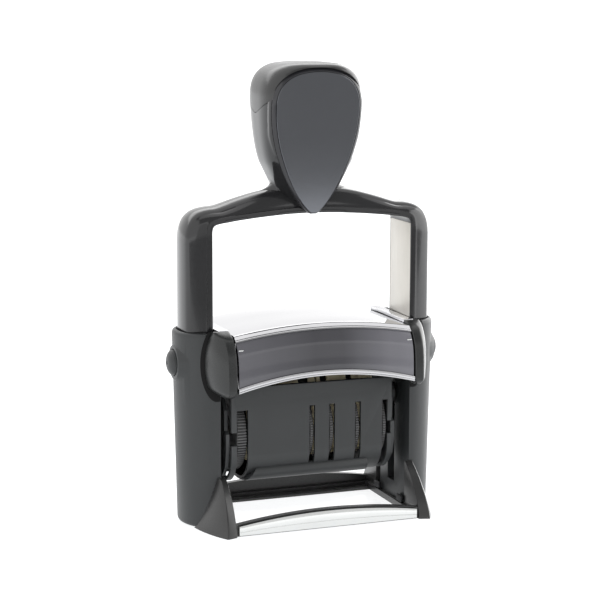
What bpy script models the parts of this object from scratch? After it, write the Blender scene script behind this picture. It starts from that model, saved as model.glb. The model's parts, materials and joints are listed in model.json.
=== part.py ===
"""Self-inking rotary date stamp: casing, ink bridge, sliding handle and flip-over date carriage.

The frame is +Z up and the user faces the side at -Y. The origin is on the surface the stamp stands on,
at the middle of its base. Every dimension below is in millimetres; UNIT turns it into metres.
"""

import math

import bmesh
import bpy
from mathutils import Vector

UNIT = 0.001
GAP = 0.3  # gap left between two pieces that touch or nest

# Columns that guide the handle
COLUMN_H = 68.4
COLUMN_MID_X = 36.0
COLUMN_RX_TOP, COLUMN_RX_FOOT = 12.3, 10.6
COLUMN_RY = 13.0
COLUMN_INNER_X = 34.1
COLUMN_FLOOR = 2.0
LEG_CLEARANCE = 0.5
AXLE_SLOT_Z = (8.0, 44.5)

# Base frame
BASE_X = 33.0
BAR_Y = (22.6, 24.9)
BAR_TOP, BAR_RISE = 4.2, 2.6
TRIM_Y = (25.2, 26.0)
FIN_H = 18.0
FIN_REACH = 27.3
FIN_INNER_X = 33.8
RAIL_X = (32.6, 33.7)
RAIL_TOP = 2.2
DAMPER_Y = (8.0, 12.5)
DAMPER_Z = (2.5, 4.8)

# Ink bridge: its front and rear faces lean inwards, and it is arched along X
BRIDGE_X = 32.4
FACE_FOOT_Y, FACE_FOOT_Z = 24.2, 49.3
FACE_LEAN = 0.3077
FACE_TOP_Z, TOP_RISE = 67.5, 3.0
FOOT_RISE = 4.4
RIM = 1.8
WINDOW_T = 0.8
SHEET_T = 0.6
FRAME_T = 1.2
CARTRIDGE_DOOR_Z = 60.3
CARTRIDGE_Z = (52.3, 57.5)
CARTRIDGE_X = 31.0
PAD_FACE_Z = 52.2

# Handle
LEG_X = (36.8, 46.0)
LEG_RY = 9.0
LEG_FOOT_Z = 34.0
BOW_CORNER_Z = 104.5
BOW_MID_Z, BOW_SAG = 107.9, 0.0021
BOW_TOP_Z = 116.6
STEEL_T = 1.0
KNOB_TOP_Z = 160.0
PLATE_TIP_Y, PLATE_TIP_Z = 8.0, 107.8
PLATE_TOP_Z = 157.2
FRONT_PLATE_LEAN, REAR_PLATE_LEAN = 0.101, 0.049
PLATE_T = 1.3
PART_LINE_Z, PART_LINE_RISE = 142.6, 4.2

# Carriage that carries the bands and turns over as the handle goes down
FLIP_Z = 41.0
FLIP_R = 10.9  # from the flip axis to the printing face
AXLE_R = 2.5
COVER_X = (-32.0, 27.8)
COVER_HALF_Y = 14.5
COVER_Z = (14.6, 49.5)
COVER_T = 1.2
COVER_CORNER = 11.0
RIDGE_X = (-24.5, 19.2)
RIDGE_SECTION = [(-13.1, 20.6), (-13.8, 19.9), (-14.0, 18.8), (-13.6, 17.6), (-12.6, 16.4), (-11.2, 15.7),
                 (-9.2, 15.3), (-7.4, 15.0), (-7.6, 15.9), (-9.3, 16.9), (-11.2, 18.5), (-12.6, 20.3)]
LEFT_PLATE_X = (-33.5, -32.3)
RIGHT_PLATE_X = (28.1, 29.6)
SHAFT_Y, SHAFT_Z, SHAFT_R = -0.7, 31.6, 2.0
HUB_R = 9.2
BAND_T = 0.9
TYPE_H = 0.8

# name: (flange from, flange to, hub end, flange radius, teeth, band from, band to)
DIALS = {
    "phrase": (-29.7, -26.3, -4.0, 13.7, 44, -24.6, -4.3),
    "day_tens": (-3.0, -1.6, 2.3, 13.6, 24, -0.4, 2.1),
    "day_units": (5.9, 4.4, 2.6, 13.6, 24, 2.7, 4.1),
    "month": (15.7, 14.2, 6.5, 13.6, 24, 6.6, 13.9),
    "year": (25.9, 24.5, 16.1, 13.6, 24, 16.2, 23.9),
}

# Return springs inside the legs
SPRING_X, SPRING_R, SPRING_WIRE = 42.1, 2.6, 0.45
SPRING_Z = (2.8, 73.6)
SPRING_TURNS = 8

# Lock buttons
LOCK_Z = 57.0
BOSS_X = 48.4
BUTTON_R = 4.55


def clear_scene():
    for old in list(bpy.data.objects):
        bpy.data.objects.remove(old, do_unlink=True)


def finish_material(name, colour, roughness, metallic=0.0):
    material = bpy.data.materials.new(name)
    material.use_nodes = True
    shader = material.node_tree.nodes["Principled BSDF"]
    shader.inputs["Base Color"].default_value = (*colour, 1.0)
    shader.inputs["Roughness"].default_value = roughness
    shader.inputs["Metallic"].default_value = metallic
    return material


def matte_plastic(name):
    return finish_material(name, (0.055, 0.058, 0.060), 0.55)


def gloss_plastic(name):
    return finish_material(name, (0.012, 0.012, 0.013), 0.12)


def chrome(name):
    return finish_material(name, (0.85, 0.86, 0.88), 0.06, 1.0)


def steel(name):
    return finish_material(name, (0.72, 0.70, 0.66), 0.32, 1.0)


def rubber(name):
    return finish_material(name, (0.45, 0.38, 0.25), 0.7)


def black_rubber(name):
    return finish_material(name, (0.02, 0.02, 0.02), 0.8)


def solid(name, rings, closed=False):
    """A body through equal rings of points, with its ends capped, or closed into a loop of rings."""
    mesh = bmesh.new()
    rows = [[mesh.verts.new(Vector(p) * UNIT) for p in ring] for ring in rings]
    count = len(rows[0])
    pairs = list(zip(rows, rows[1:]))
    if closed:
        pairs.append((rows[-1], rows[0]))
    for low, high in pairs:
        for i in range(count):
            j = (i + 1) % count
            mesh.faces.new((low[i], low[j], high[j], high[i]))
    if not closed:
        mesh.faces.new(rows[0])
        mesh.faces.new(rows[-1])
    bmesh.ops.triangulate(mesh, faces=[f for f in mesh.faces if len(f.verts) == 4])
    bmesh.ops.recalc_face_normals(mesh, faces=mesh.faces)
    data = bpy.data.meshes.new(name)
    mesh.to_mesh(data)
    mesh.free()
    made = bpy.data.objects.new(name, data)
    bpy.context.scene.collection.objects.link(made)
    return made


def prism_x(name, outline, x0, x1):
    return solid(name, [[(x, y, z) for y, z in outline] for x in (x0, x1)])


def prism_y(name, outline, y0, y1):
    return solid(name, [[(x, y, z) for x, z in outline] for y in (y0, y1)])


def prism_z(name, outline, z0, z1):
    return solid(name, [[(x, y, z) for x, y in outline] for z in (z0, z1)])


def box(name, x, y, z):
    return prism_z(name, [(x[0], y[0]), (x[1], y[0]), (x[1], y[1]), (x[0], y[1])], *z)


def circle(mid, radius, count):
    turn = 2 * math.pi / count
    return [(mid[0] + radius * math.cos(i * turn), mid[1] + radius * math.sin(i * turn))
            for i in range(count)]


def combine(target, tools, operation):
    """Joins the tools to the target, or cuts them from it, and removes them."""
    for tool in tools:
        step = target.modifiers.new(operation.lower(), "BOOLEAN")
        step.operation = operation
        step.object = tool
    bpy.context.view_layer.update()
    graph = bpy.context.evaluated_depsgraph_get()
    done = bpy.data.meshes.new_from_object(target.evaluated_get(graph))
    target.modifiers.clear()
    target.data = done
    for tool in tools:
        bpy.data.objects.remove(tool, do_unlink=True)
    return target


def dress(piece, material, parent=None, crease=35):
    piece.data.materials.clear()
    piece.data.materials.append(material)
    piece.data.shade_smooth()
    piece.data.set_sharp_from_angle(angle=math.radians(crease))
    if parent:
        piece.parent = parent
        piece.matrix_parent_inverse = parent.matrix_world.inverted()
    return piece


def pivot(name, place):
    empty = bpy.data.objects.new(name, None)
    empty.location = Vector(place) * UNIT
    bpy.context.scene.collection.objects.link(empty)
    bpy.context.view_layer.update()
    return empty


def side_name(side):
    return "left" if side < 0 else "right"


def bezier(a, b, c, count):
    """Points on the curve from a to c that bends towards b, without its first point."""
    steps = [(i + 1) / count for i in range(count)]
    return [tuple((1 - t) ** 2 * p + 2 * t * (1 - t) * q + t * t * r for p, q, r in zip(a, b, c))
            for t in steps]


def cubic(a, b, c, d, count):
    steps = [(i + 1) / count for i in range(count)]
    return [tuple((1 - t) ** 3 * p + 3 * t * (1 - t) ** 2 * q + 3 * t * t * (1 - t) * r + t ** 3 * s
                  for p, q, r, s in zip(a, b, c, d)) for t in steps]


# ---------------------------------------------------------------- casing

def column_rx(z):
    return COLUMN_RX_FOOT + (COLUMN_RX_TOP - COLUMN_RX_FOOT) * z / COLUMN_H


def column_surface_y(x, z, grow=0.0):
    """How far forward the column's rounded skin reaches at x and z."""
    across = min(abs(x - COLUMN_MID_X) / (column_rx(z) + grow), 1.0)
    return (COLUMN_RY + grow) * math.sqrt(1 - across * across)


def column_outline(side, rx, ry, inner_x, inset=0.0):
    turn = [math.radians(-93 + 186 * i / 18) for i in range(19)]
    skin = [(COLUMN_MID_X + (rx - inset) * math.cos(t), (ry - inset) * math.sin(t)) for t in turn]
    inner = [(inner_x + inset, 9.0), (inner_x + inset, -9.0)]
    return [(side * x, y) for x, y in skin + inner]


def leg_outline(side, grow=0.0):
    mid_x = LEG_X[0] + 1.4
    turn = [math.radians(-90 + 180 * i / 14) for i in range(15)]
    skin = [(mid_x + (LEG_X[1] - mid_x + grow) * math.cos(t), (LEG_RY + grow) * math.sin(t))
            for t in turn]
    inner = [(LEG_X[0] - grow, LEG_RY - 1.0), (LEG_X[0] - grow, 1.0 - LEG_RY)]
    return [(side * x, y) for x, y in skin + inner]


def make_column(side):
    name = side_name(side) + "_column"
    levels = [(0.0, 1.0), (1.4, 0.0), (COLUMN_H - 1.0, 0.0), (COLUMN_H, 0.7)]
    rings = []
    for z, inset in levels:
        outline = column_outline(side, column_rx(z), COLUMN_RY, COLUMN_INNER_X, inset)
        rings.append([(x, y, z) for x, y in outline])
    body = solid(name, rings)
    boss = solid("boss", [[(side * x, y, z) for y, z in circle((0, LOCK_Z), r, 24)]
                          for x, r in ((44.0, 8.6), (46.9, 6.9), (BOSS_X, 5.85))])
    combine(body, [boss], "UNION")
    well = prism_z("well", leg_outline(side, LEG_CLEARANCE), COLUMN_FLOOR, COLUMN_H + 5)
    half = AXLE_R + 0.4
    x0, x1 = sorted((side * (COLUMN_INNER_X - 2), side * (LEG_X[0] + 2)))
    slot = box("slot", (x0, x1), (-half, half), AXLE_SLOT_Z)
    recess = prism_x("recess", circle((0, LOCK_Z), BUTTON_R + GAP, 24), side * (BOSS_X - 1.4), side * 52)
    hole = prism_x("hole", circle((0, LOCK_Z), 2.6, 16), side * 44, side * 50)
    combine(body, [well, slot, recess, hole], "DIFFERENCE")
    return dress(body, matte_plastic(name))


def fin_rings(side, way):
    """Rings of one corner fin, from its foot to its tip beside the column."""
    rings = []
    for level in (0.0, 0.15, 0.35, 0.55, 0.75, 0.9, 0.985):
        z = FIN_H * level
        front = 14.4 + (FIN_REACH - 14.4) * (1 - level ** 1.5) ** 0.8
        crease = (37.0 - 1.5 * level, front)
        edge_x = 44.0 - 7.4 * level ** 0.8
        edge = (edge_x, column_surface_y(edge_x, z, 0.4))
        bend = ((crease[0] + edge[0]) / 2 + 1.8 * (1 - level), (crease[1] + edge[1]) / 2 + 0.9)
        ring = [(FIN_INNER_X, 13.6), (FIN_INNER_X, front - 1.3), crease]
        ring += bezier(crease, bend, edge, 5)
        for share in (0.33, 0.66, 1.0):
            x = edge_x + (35.4 - edge_x) * share
            ring.append((x, column_surface_y(x, z, 0.4) + 0.02))
        rings.append([(side * x, way * y, z) for x, y in ring])
    return rings


def bar_outline(half_x, top, rise, foot=0.0):
    steps = [-1 + 2 * i / 14 for i in range(15)]
    arch = [(half_x * s, top + rise * (1 - (half_x * s / BASE_X) ** 2)) for s in steps]
    return [(-half_x, foot), *arch, (half_x, foot)]


def make_base():
    body = prism_y("base_frame", bar_outline(35.0, BAR_TOP, BAR_RISE), -BAR_Y[1], -BAR_Y[0])
    joined = [prism_y("bar", bar_outline(35.0, BAR_TOP, BAR_RISE), BAR_Y[0], BAR_Y[1])]
    for side in (-1, 1):
        rail = sorted((side * RAIL_X[0], side * RAIL_X[1]))
        tie = sorted((side * RAIL_X[0], side * 35.0))
        joined.append(box("rail", rail, (-15, 15), (0, RAIL_TOP)))
        for way in (-1, 1):
            ends = sorted((way * 13.6, way * 23.4))
            joined.append(box("tie", tie, ends, (0, RAIL_TOP)))
            joined.append(solid("fin", fin_rings(side, way)))
    combine(body, joined, "UNION")
    return dress(body, matte_plastic("base_frame"))


def make_base_trims():
    outline = bar_outline(BASE_X, BAR_TOP - 0.4, BAR_RISE)
    for way, name in ((-1, "front_base_trim"), (1, "rear_base_trim")):
        dress(prism_y(name, outline, way * TRIM_Y[0], way * TRIM_Y[1]), chrome(name))


def make_dampers():
    for side in (-1, 1):
        for way, end in ((-1, "front"), (1, "rear")):
            name = f"{side_name(side)}_{end}_damper"
            x = sorted((side * (RAIL_X[0] + 0.1), side * (RAIL_X[1] - 0.1)))
            y = sorted((way * DAMPER_Y[0], way * DAMPER_Y[1]))
            dress(box(name, x, y, DAMPER_Z), black_rubber(name))


# ---------------------------------------------------------------- ink bridge

def arch(x):
    return 1 - (x / BRIDGE_X) ** 2


def face_y(z, depth=0.0):
    """Distance forward of the bridge's leaning face at height z, moved inwards by depth."""
    return FACE_FOOT_Y - FACE_LEAN * (z - FACE_FOOT_Z) - depth * math.hypot(1, FACE_LEAN)


def cap_rings(side, way):
    """Rings of one rounded end of the bridge, hugging the column's skin."""
    rings = []
    for z in (47.4, 48.4, 50.0, 53.0, 57.0, 61.0, 64.5, 66.6, 67.9, 68.8, 69.3):
        front = face_y(z) - max(0.0, z - 65.0) ** 2 * 0.13
        edge_x = 36.7 + 3.9 * math.sqrt(max(0.0, 1 - ((z - 58.0) / 12.2) ** 2))
        edge = (edge_x, column_surface_y(edge_x, z, 0.45))
        corner = (36.6, front - 0.7)
        bend = ((corner[0] + edge[0]) / 2 + 1.2, (corner[1] + edge[1]) / 2 + 0.8)
        ring = [(BRIDGE_X + 0.5, 13.6), (BRIDGE_X + 0.5, front - 0.3), (33.3, front), (35.9, front)]
        ring += [corner] + bezier(corner, bend, edge, 5)
        for share in (0.5, 1.0):
            x = edge_x + (35.6 - edge_x) * share
            ring.append((x, column_surface_y(x, z, 0.45) + 0.02))
        shrink = min(1.0, 0.25 + 0.75 * (z - 47.4) / 2.6)
        ring = [(35.2 + (x - 35.2) * shrink, 19.5 + (y - 19.5) * shrink) for x, y in ring]
        rings.append([(side * x, way * y, z) for x, y in ring])
    return rings


def make_bridge_caps():
    for side in (-1, 1):
        name = side_name(side) + "_bridge_cap"
        body = solid(name, cap_rings(side, -1))
        strip = box("strip", sorted((side * 33.2, side * 36.4)), (-14.6, 14.6), (68.7, 69.3))
        combine(body, [strip, solid("rear", cap_rings(side, 1))], "UNION")
        dress(body, gloss_plastic(name))


def stations(half_x, count=12):
    return [-half_x + 2 * half_x * i / count for i in range(count + 1)]


def foot_z(x, way):
    return FACE_FOOT_Z + FOOT_RISE * arch(x) if way < 0 else CARTRIDGE_DOOR_Z


def cover_section(x):
    """The chrome sheet's section: rims at the foot and the top of each face, and the top sheet."""
    top = FACE_TOP_Z + TOP_RISE * arch(x)
    back, inside = WINDOW_T + GAP, WINDOW_T + GAP + SHEET_T
    outer, inner = {}, {}
    for way in (-1, 1):
        foot = foot_z(x, way)
        outer[way] = [(face_y(foot), foot), (face_y(foot + RIM), foot + RIM),
                      (face_y(foot + RIM, back), foot + RIM), (face_y(top - RIM, back), top - RIM),
                      (face_y(top - RIM), top - RIM), (face_y(top), top),
                      (face_y(top) - 0.5, top + 0.7), (face_y(top) - 1.5, top + 0.9)]
        inner[way] = [(face_y(foot, inside), foot), (face_y(top - 0.2, inside), top - 0.2),
                      (face_y(top, inside) - 0.4, top + 0.2)]
    ring = [(-y, z) for y, z in outer[-1]] + [(y, z) for y, z in reversed(outer[1])]
    ring += [(y, z) for y, z in inner[1]] + [(-y, z) for y, z in reversed(inner[-1])]
    return [(x, y, z) for y, z in ring]


def make_bridge_cover():
    body = solid("bridge_cover", [cover_section(x) for x in stations(BRIDGE_X)])
    dress(body, chrome("bridge_cover"))


def window_section(x, way):
    foot = foot_z(x, way) + RIM + GAP
    top = FACE_TOP_Z + TOP_RISE * arch(x) - RIM - GAP
    ring = [(face_y(foot), foot), (face_y(top), top), (face_y(top, WINDOW_T), top),
            (face_y(foot, WINDOW_T), foot)]
    return [(x, way * y, z) for y, z in ring]


def make_windows():
    for way, name in ((-1, "front_index_window"), (1, "rear_index_window")):
        body = solid(name, [window_section(x, way) for x in stations(BRIDGE_X - 0.2)])
        dress(body, finish_material(name, (0.10, 0.10, 0.125), 0.08))


def frame_section(x):
    outside = WINDOW_T + SHEET_T + 2 * GAP
    inside = outside + FRAME_T
    top = FACE_TOP_Z + TOP_RISE * arch(x) - 0.1
    ring = []
    for way in (-1, 1):
        foot = foot_z(x, way) + 0.2
        wall = [(face_y(foot, outside), foot), (face_y(top, outside) - 0.4, top)]
        ring += [(way * y, z) for y, z in (wall if way < 0 else reversed(wall))]
    for way in (1, -1):
        foot = foot_z(x, way) + 0.2
        wall = [(face_y(foot, inside), foot), (face_y(top, inside) - 0.8, top - FRAME_T)]
        ring += [(way * y, z) for y, z in (wall if way > 0 else reversed(wall))]
    return [(x, y, z) for y, z in ring]


def make_bridge_frame():
    body = solid("bridge_frame", [frame_section(x) for x in stations(BRIDGE_X)])
    middle = WINDOW_T + SHEET_T + 2 * GAP + FRAME_T / 2
    joined = []
    for side in (-1, 1):
        foot, top = FACE_FOOT_Z + 1.7, FACE_TOP_Z - 0.4
        cheek = [(-face_y(foot, middle), foot), (-face_y(top, middle), top),
                 (face_y(top, middle), top), (face_y(foot, middle), foot)]
        joined.append(prism_x("cheek", cheek, side * 31.3, side * (BRIDGE_X - 0.3)))
        ledge = sorted((side * 30.2, side * 31.8))
        joined.append(box("ledge", ledge, (-15.5, 19.0), (FACE_FOOT_Z + 1.9, 52.0)))
    combine(body, joined, "UNION")
    dress(body, matte_plastic("bridge_frame"))


def make_cartridge(parent):
    low, high = CARTRIDGE_Z
    body = box("ink_cartridge", (-CARTRIDGE_X, CARTRIDGE_X), (-14.0, 19.0), (low, high))
    grip = [(face_y(low) - 4.5, low), (face_y(low) - 0.2, low),
            (face_y(CARTRIDGE_DOOR_Z) - 0.2, CARTRIDGE_DOOR_Z - 0.5),
            (face_y(CARTRIDGE_DOOR_Z) - 3.5, CARTRIDGE_DOOR_Z - 0.5)]
    handle = prism_x("handle", grip, -CARTRIDGE_X + 0.2, CARTRIDGE_X - 0.2)
    combine(body, [handle], "UNION")
    recess = box("recess", (-27.0, 27.0), (-10.0, 10.0), (low - 2, low + 3.0))
    combine(body, [recess], "DIFFERENCE")
    dress(body, matte_plastic("ink_cartridge"), parent)
    pad = box("ink_pad", (-26.7, 26.7), (-9.7, 9.7), (PAD_FACE_Z, low + 2.7))
    dress(pad, finish_material("ink_pad", (0.01, 0.01, 0.03), 0.95), parent)


# ---------------------------------------------------------------- handle

def bow_underside(x):
    return BOW_MID_Z - BOW_SAG * x * x


def bow_stations():
    """Inner point, outer point and half depth of each section, from a leg's foot to the middle."""
    inner_x, outer_x = LEG_X
    legs = [((inner_x, z), (outer_x, z), LEG_RY) for z in (LEG_FOOT_Z, 66.0, 97.0)]
    corner = [((inner_x, 101.5), (45.8, 102.0), 9.0), ((inner_x, 103.4), (44.4, 106.4), 9.0),
              ((36.4, 104.5), (42.0, 109.0), 8.9), ((35.2, 105.1), (38.5, 110.3), 8.7)]
    span = [(32.0, 111.3, 8.3), (29.0, 112.2, 8.0), (24.0, 113.8, 7.6), (18.0, 115.4, 7.0),
            (13.0, 116.3, 6.2), (8.0, BOW_TOP_Z, 5.0), (0.0, BOW_TOP_Z, 4.9)]
    return legs + corner + [((x, bow_underside(x)), (x, top), w) for x, top, w in span]


def bow_ring(side, inner, outer, half_y):
    turn = [math.radians(-90 + 180 * i / 14) for i in range(15)]
    section = [(0.15 + 0.85 * math.cos(t), half_y * math.sin(t)) for t in turn]
    section += [(0.0, half_y - 1.0), (0.0, 1.0 - half_y)]
    return [(side * (inner[0] + (outer[0] - inner[0]) * s), y, inner[1] + (outer[1] - inner[1]) * s)
            for s, y in section]


def make_bow(parent):
    half = bow_stations()
    rings = [bow_ring(-1, *station) for station in half]
    rings += [bow_ring(1, *station) for station in reversed(half[:-1])]
    body = solid("handle_bow", rings)
    cuts = []
    for side in (-1, 1):
        x = sorted((side * (LEG_X[0] - 1), side * (LEG_X[0] + STEEL_T + GAP)))
        cuts.append(box("rebate", x, (-7.6, 7.6), (LEG_FOOT_Z - 1, BOW_CORNER_Z - 1.0)))
        pocket = circle((side * SPRING_X, 0), SPRING_R + SPRING_WIRE + 0.35, 16)
        cuts.append(prism_z("pocket", pocket, LEG_FOOT_Z - 1, SPRING_Z[1] + 0.6))
    combine(body, cuts, "DIFFERENCE")
    dress(body, gloss_plastic("handle_bow"), parent)


def make_rails_and_axles(parent):
    for side in (-1, 1):
        name = side_name(side) + "_steel_rail"
        x = sorted((side * LEG_X[0], side * (LEG_X[0] + STEEL_T)))
        dress(box(name, x, (-7.3, 7.3), (LEG_FOOT_Z + 1, BOW_CORNER_Z - 1.3)), steel(name), parent)
        name = side_name(side) + "_axle"
        end = -LEFT_PLATE_X[1] if side < 0 else RIGHT_PLATE_X[0] + 0.3
        pin = prism_x(name, circle((0, FLIP_Z), AXLE_R, 20), side * end, side * (LEG_X[0] - GAP))
        dress(pin, steel(name), parent)


def knob_ring(half_x, half_y, front, rear, z, count=24, power=3.6):
    ring = []
    for i in range(count):
        t = 2 * math.pi * (i + 0.5) / count
        c, s = math.cos(t), math.sin(t)
        x = half_x * math.copysign(abs(c) ** (2 / power), c)
        y = half_y * math.copysign(abs(s) ** (2 / power), s)
        ring.append((x, max(-front, min(rear, y)), z))
    return ring


def plate_y(z, way, depth=0.0):
    """Distance from the middle of the leaning face of a knob plate, moved inwards by depth."""
    lean = FRONT_PLATE_LEAN if way < 0 else REAR_PLATE_LEAN
    return PLATE_TIP_Y + lean * (z - PLATE_TIP_Z) - depth * math.hypot(1, lean)


def knob_rings(inset=0.0):
    """Height, half width and half depth of the knob's sections."""
    profile = [(116.9, 11.8, 8.6), (118.5, 12.5, 9.2), (121.5, 13.6, 9.9), (126.0, 15.6, 10.8),
               (132.0, 17.1, 11.8), (138.0, 17.8, 12.6), (144.0, 18.1, 13.1), (149.0, 18.0, 13.4),
               (153.0, 17.0, 13.2), (156.0, 14.9, 12.2), (158.3, 11.6, 10.4), (159.6, 7.4, 7.6),
               (KNOB_TOP_Z, 3.0, 3.6)]
    if inset:
        profile = [p for p in profile if 118.0 < p[0] < 157.0]
    back = PLATE_T + GAP
    return [knob_ring(a - inset, b - inset, plate_y(z, -1, back) - inset, plate_y(z, 1, back) - inset, z)
            for z, a, b in profile]


def plate_outline(inset=0.0):
    """Half widths and heights of the drop-shaped plate, round from its tip."""
    wide = 16.5 - inset
    low, high = PLATE_TIP_Z + inset, PLATE_TOP_Z - inset
    half = [(1.6, low)]
    half += cubic((1.6, low), (8.6, 119.0), (wide, 131.5), (wide, 145.5), 8)
    half += cubic((wide, 145.5), (wide, 153.4 - inset), (10.4 - inset, high), (0.0, high), 7)
    return half + [(-x, z) for x, z in reversed(half[:-1])]


def plate_body(name, way, front, back, inset=0.0):
    outline = plate_outline(inset)
    return solid(name, [[(x, way * plate_y(z, way, depth), z) for x, z in outline]
                        for depth in (front, back)])


def parting_tool(above):
    """A block with a shallow trough across its face, above or below the knob's parting line."""
    shift = GAP / 2 if above else -GAP / 2
    steps = [-20 + 40 * i / 12 for i in range(13)]
    line = [(y, PART_LINE_Z + PART_LINE_RISE * (y / 12) ** 2 + shift) for y in steps]
    far = 190.0 if above else 90.0
    return prism_x("parting", line + [(20, far), (-20, far)], -30, 30)


def make_knob(parent):
    for name, above, finish in (("knob_body", False, gloss_plastic), ("knob_cap", True, matte_plastic)):
        body = solid(name, knob_rings())
        combine(body, [parting_tool(above)], "INTERSECT")
        if not above:
            tongues = [plate_body("tongue", way, PLATE_T + GAP + 0.1, PLATE_T + GAP + 1.3, 0.9)
                       for way in (-1, 1)]
            trim = [prism_x("trim", [(-20, 190), (20, 190), (20, 140), (-20, 140)], -30, 30)
                    for _ in tongues]
            for tongue, cutter in zip(tongues, trim):
                combine(tongue, [cutter], "DIFFERENCE")
            combine(body, tongues, "UNION")
        combine(body, [solid("hollow", knob_rings(2.4))], "DIFFERENCE")
        dress(body, finish(name), parent)
    for way, name in ((-1, "knob_front_plate"), (1, "knob_rear_plate")):
        dress(plate_body(name, way, 0.0, PLATE_T), finish_material(name, (0.075, 0.080, 0.087), 0.42),
              parent)


# ---------------------------------------------------------------- springs and lock buttons

def make_springs():
    steps, sides = 9, 4
    low, high = SPRING_Z
    for side in (-1, 1):
        name = side_name(side) + "_return_spring"
        rings = []
        total = SPRING_TURNS * steps
        for i in range(total + 1):
            t = 2 * math.pi * i / steps
            z = low + (high - low) * i / total
            out = Vector((math.cos(t), math.sin(t), 0))
            mid = Vector((side * SPRING_X, 0, z)) + out * SPRING_R
            ring = []
            for k in range(sides):
                a = 2 * math.pi * k / sides
                ring.append(mid + SPRING_WIRE * (out * math.cos(a) + Vector((0, 0, 1)) * math.sin(a)))
            rings.append(ring)
        dress(solid(name, rings), steel(name))


def make_lock_buttons(pivots):
    for side in (-1, 1):
        name = side_name(side) + "_lock_button"
        profile = [(-0.9, 2.2), (-0.1, 2.2), (-0.1, BUTTON_R), (0.2, BUTTON_R), (1.1, 4.1), (1.75, 3.2),
                   (2.15, 1.9), (2.3, 0.6)]
        rings = [[(side * (BOSS_X + x), y, z) for y, z in circle((0, LOCK_Z), r, 20)]
                 for x, r in profile]
        dress(solid(name, rings), matte_plastic(name), pivots[side])


# ---------------------------------------------------------------- carriage

def cover_outline():
    low, high = COVER_Z
    half, corner, wall = COVER_HALF_Y, COVER_CORNER, COVER_T
    turn = [math.radians(15 * i) for i in range(7)]
    outer = [(-half, high)]
    outer += [(-half + corner * (1 - math.cos(t)), low + corner * (1 - math.sin(t))) for t in turn]
    outer += [(-y, z) for y, z in reversed(outer)]
    small = corner - wall
    inner = [(-half + wall, high)]
    inner += [(-half + wall + small * (1 - math.cos(t)), low + wall + small * (1 - math.sin(t)))
              for t in turn]
    inner += [(-y, z) for y, z in reversed(inner)]
    return outer + list(reversed(inner))


def make_carriage_cover(parent):
    body = prism_x("carriage_cover", cover_outline(), *COVER_X)
    top = 41.4
    cuts = []
    for dial, (a, b, *_rest) in DIALS.items():
        x = sorted((a, b))
        wide = 0.3 if dial == "phrase" else 0.35
        cuts.append(box("slot", (x[0] - wide, x[1] + wide), (-20.0, 5.6), (10.0, top)))
    for x in ((-40.0, -28.0), (25.0, 40.0)):
        cuts.append(box("notch", x, (-20.0, -10.0), (29.0, 33.7)))
    combine(body, cuts, "DIFFERENCE")
    combine(body, [prism_x("ridge", RIDGE_SECTION, *RIDGE_X)], "UNION")
    dress(body, matte_plastic("carriage_cover"), parent)


def plate_side_outline():
    half = [(0.0, 48.0), (5.0, 48.0), (6.5, 46.5), (11.0, 41.0), (11.0, 34.0), (13.0, 33.0),
            (13.0, 27.0), (11.6, 21.0), (8.4, 17.4), (4.0, 16.0), (0.0, 16.0)]
    return half[:-1] + [(-y, z) for y, z in reversed(half[1:])]


def make_end_plates(parent):
    for side, (x0, x1) in ((-1, LEFT_PLATE_X), (1, RIGHT_PLATE_X)):
        name = side_name(side) + "_end_plate"
        body = prism_x(name, plate_side_outline(), x0, x1)
        if side > 0:
            boss = prism_x("boss", circle((0, FLIP_Z), 4.6, 20), x0 + 0.2, 33.4)
            combine(body, [boss], "UNION")
        bore = prism_x("bore", circle((0, FLIP_Z), AXLE_R + GAP, 20), side * 20, side * 45)
        seat = prism_x("seat", circle((SHAFT_Y, SHAFT_Z), SHAFT_R + GAP, 16), side * 20, side * 45)
        combine(body, [bore, seat], "DIFFERENCE")
        dress(body, matte_plastic(name), parent)


def make_shaft_and_bar(parent):
    shaft = prism_x("wheel_shaft", circle((SHAFT_Y, SHAFT_Z), SHAFT_R, 16), -33.4, 29.5)
    dress(shaft, steel("wheel_shaft"), parent)
    outline = [(-3.2, 45.5), (3.2, 45.5), (3.2, 47.6), (1.6, 49.6), (-1.6, 49.6), (-3.2, 47.6)]
    bar = prism_x("printing_bar", outline, COVER_X[0], COVER_X[1])
    dress(bar, matte_plastic("printing_bar"), parent)


def band_point(angle, grow):
    """Where a taut loop round the bar and the hub, moved out by grow, faces the given angle."""
    out = (math.cos(angle), math.sin(angle))
    rounds = [((SHAFT_Y, SHAFT_Z), HUB_R + GAP), ((-2.6, 48.7), 1.4), ((2.6, 48.7), 1.4)]
    mid, radius = max(rounds, key=lambda r: r[0][0] * out[0] + r[0][1] * out[1] + r[1])
    return (mid[0] + (radius + grow) * out[0], mid[1] + (radius + grow) * out[1])


def band_path(samples=360):
    """Inner points of the loop and the unit normals there, evenly spaced along it."""
    raw = []
    for i in range(samples):
        angle = 2 * math.pi * i / samples
        raw.append((band_point(angle, 0.0), (math.cos(angle), math.sin(angle))))
    return raw


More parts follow.
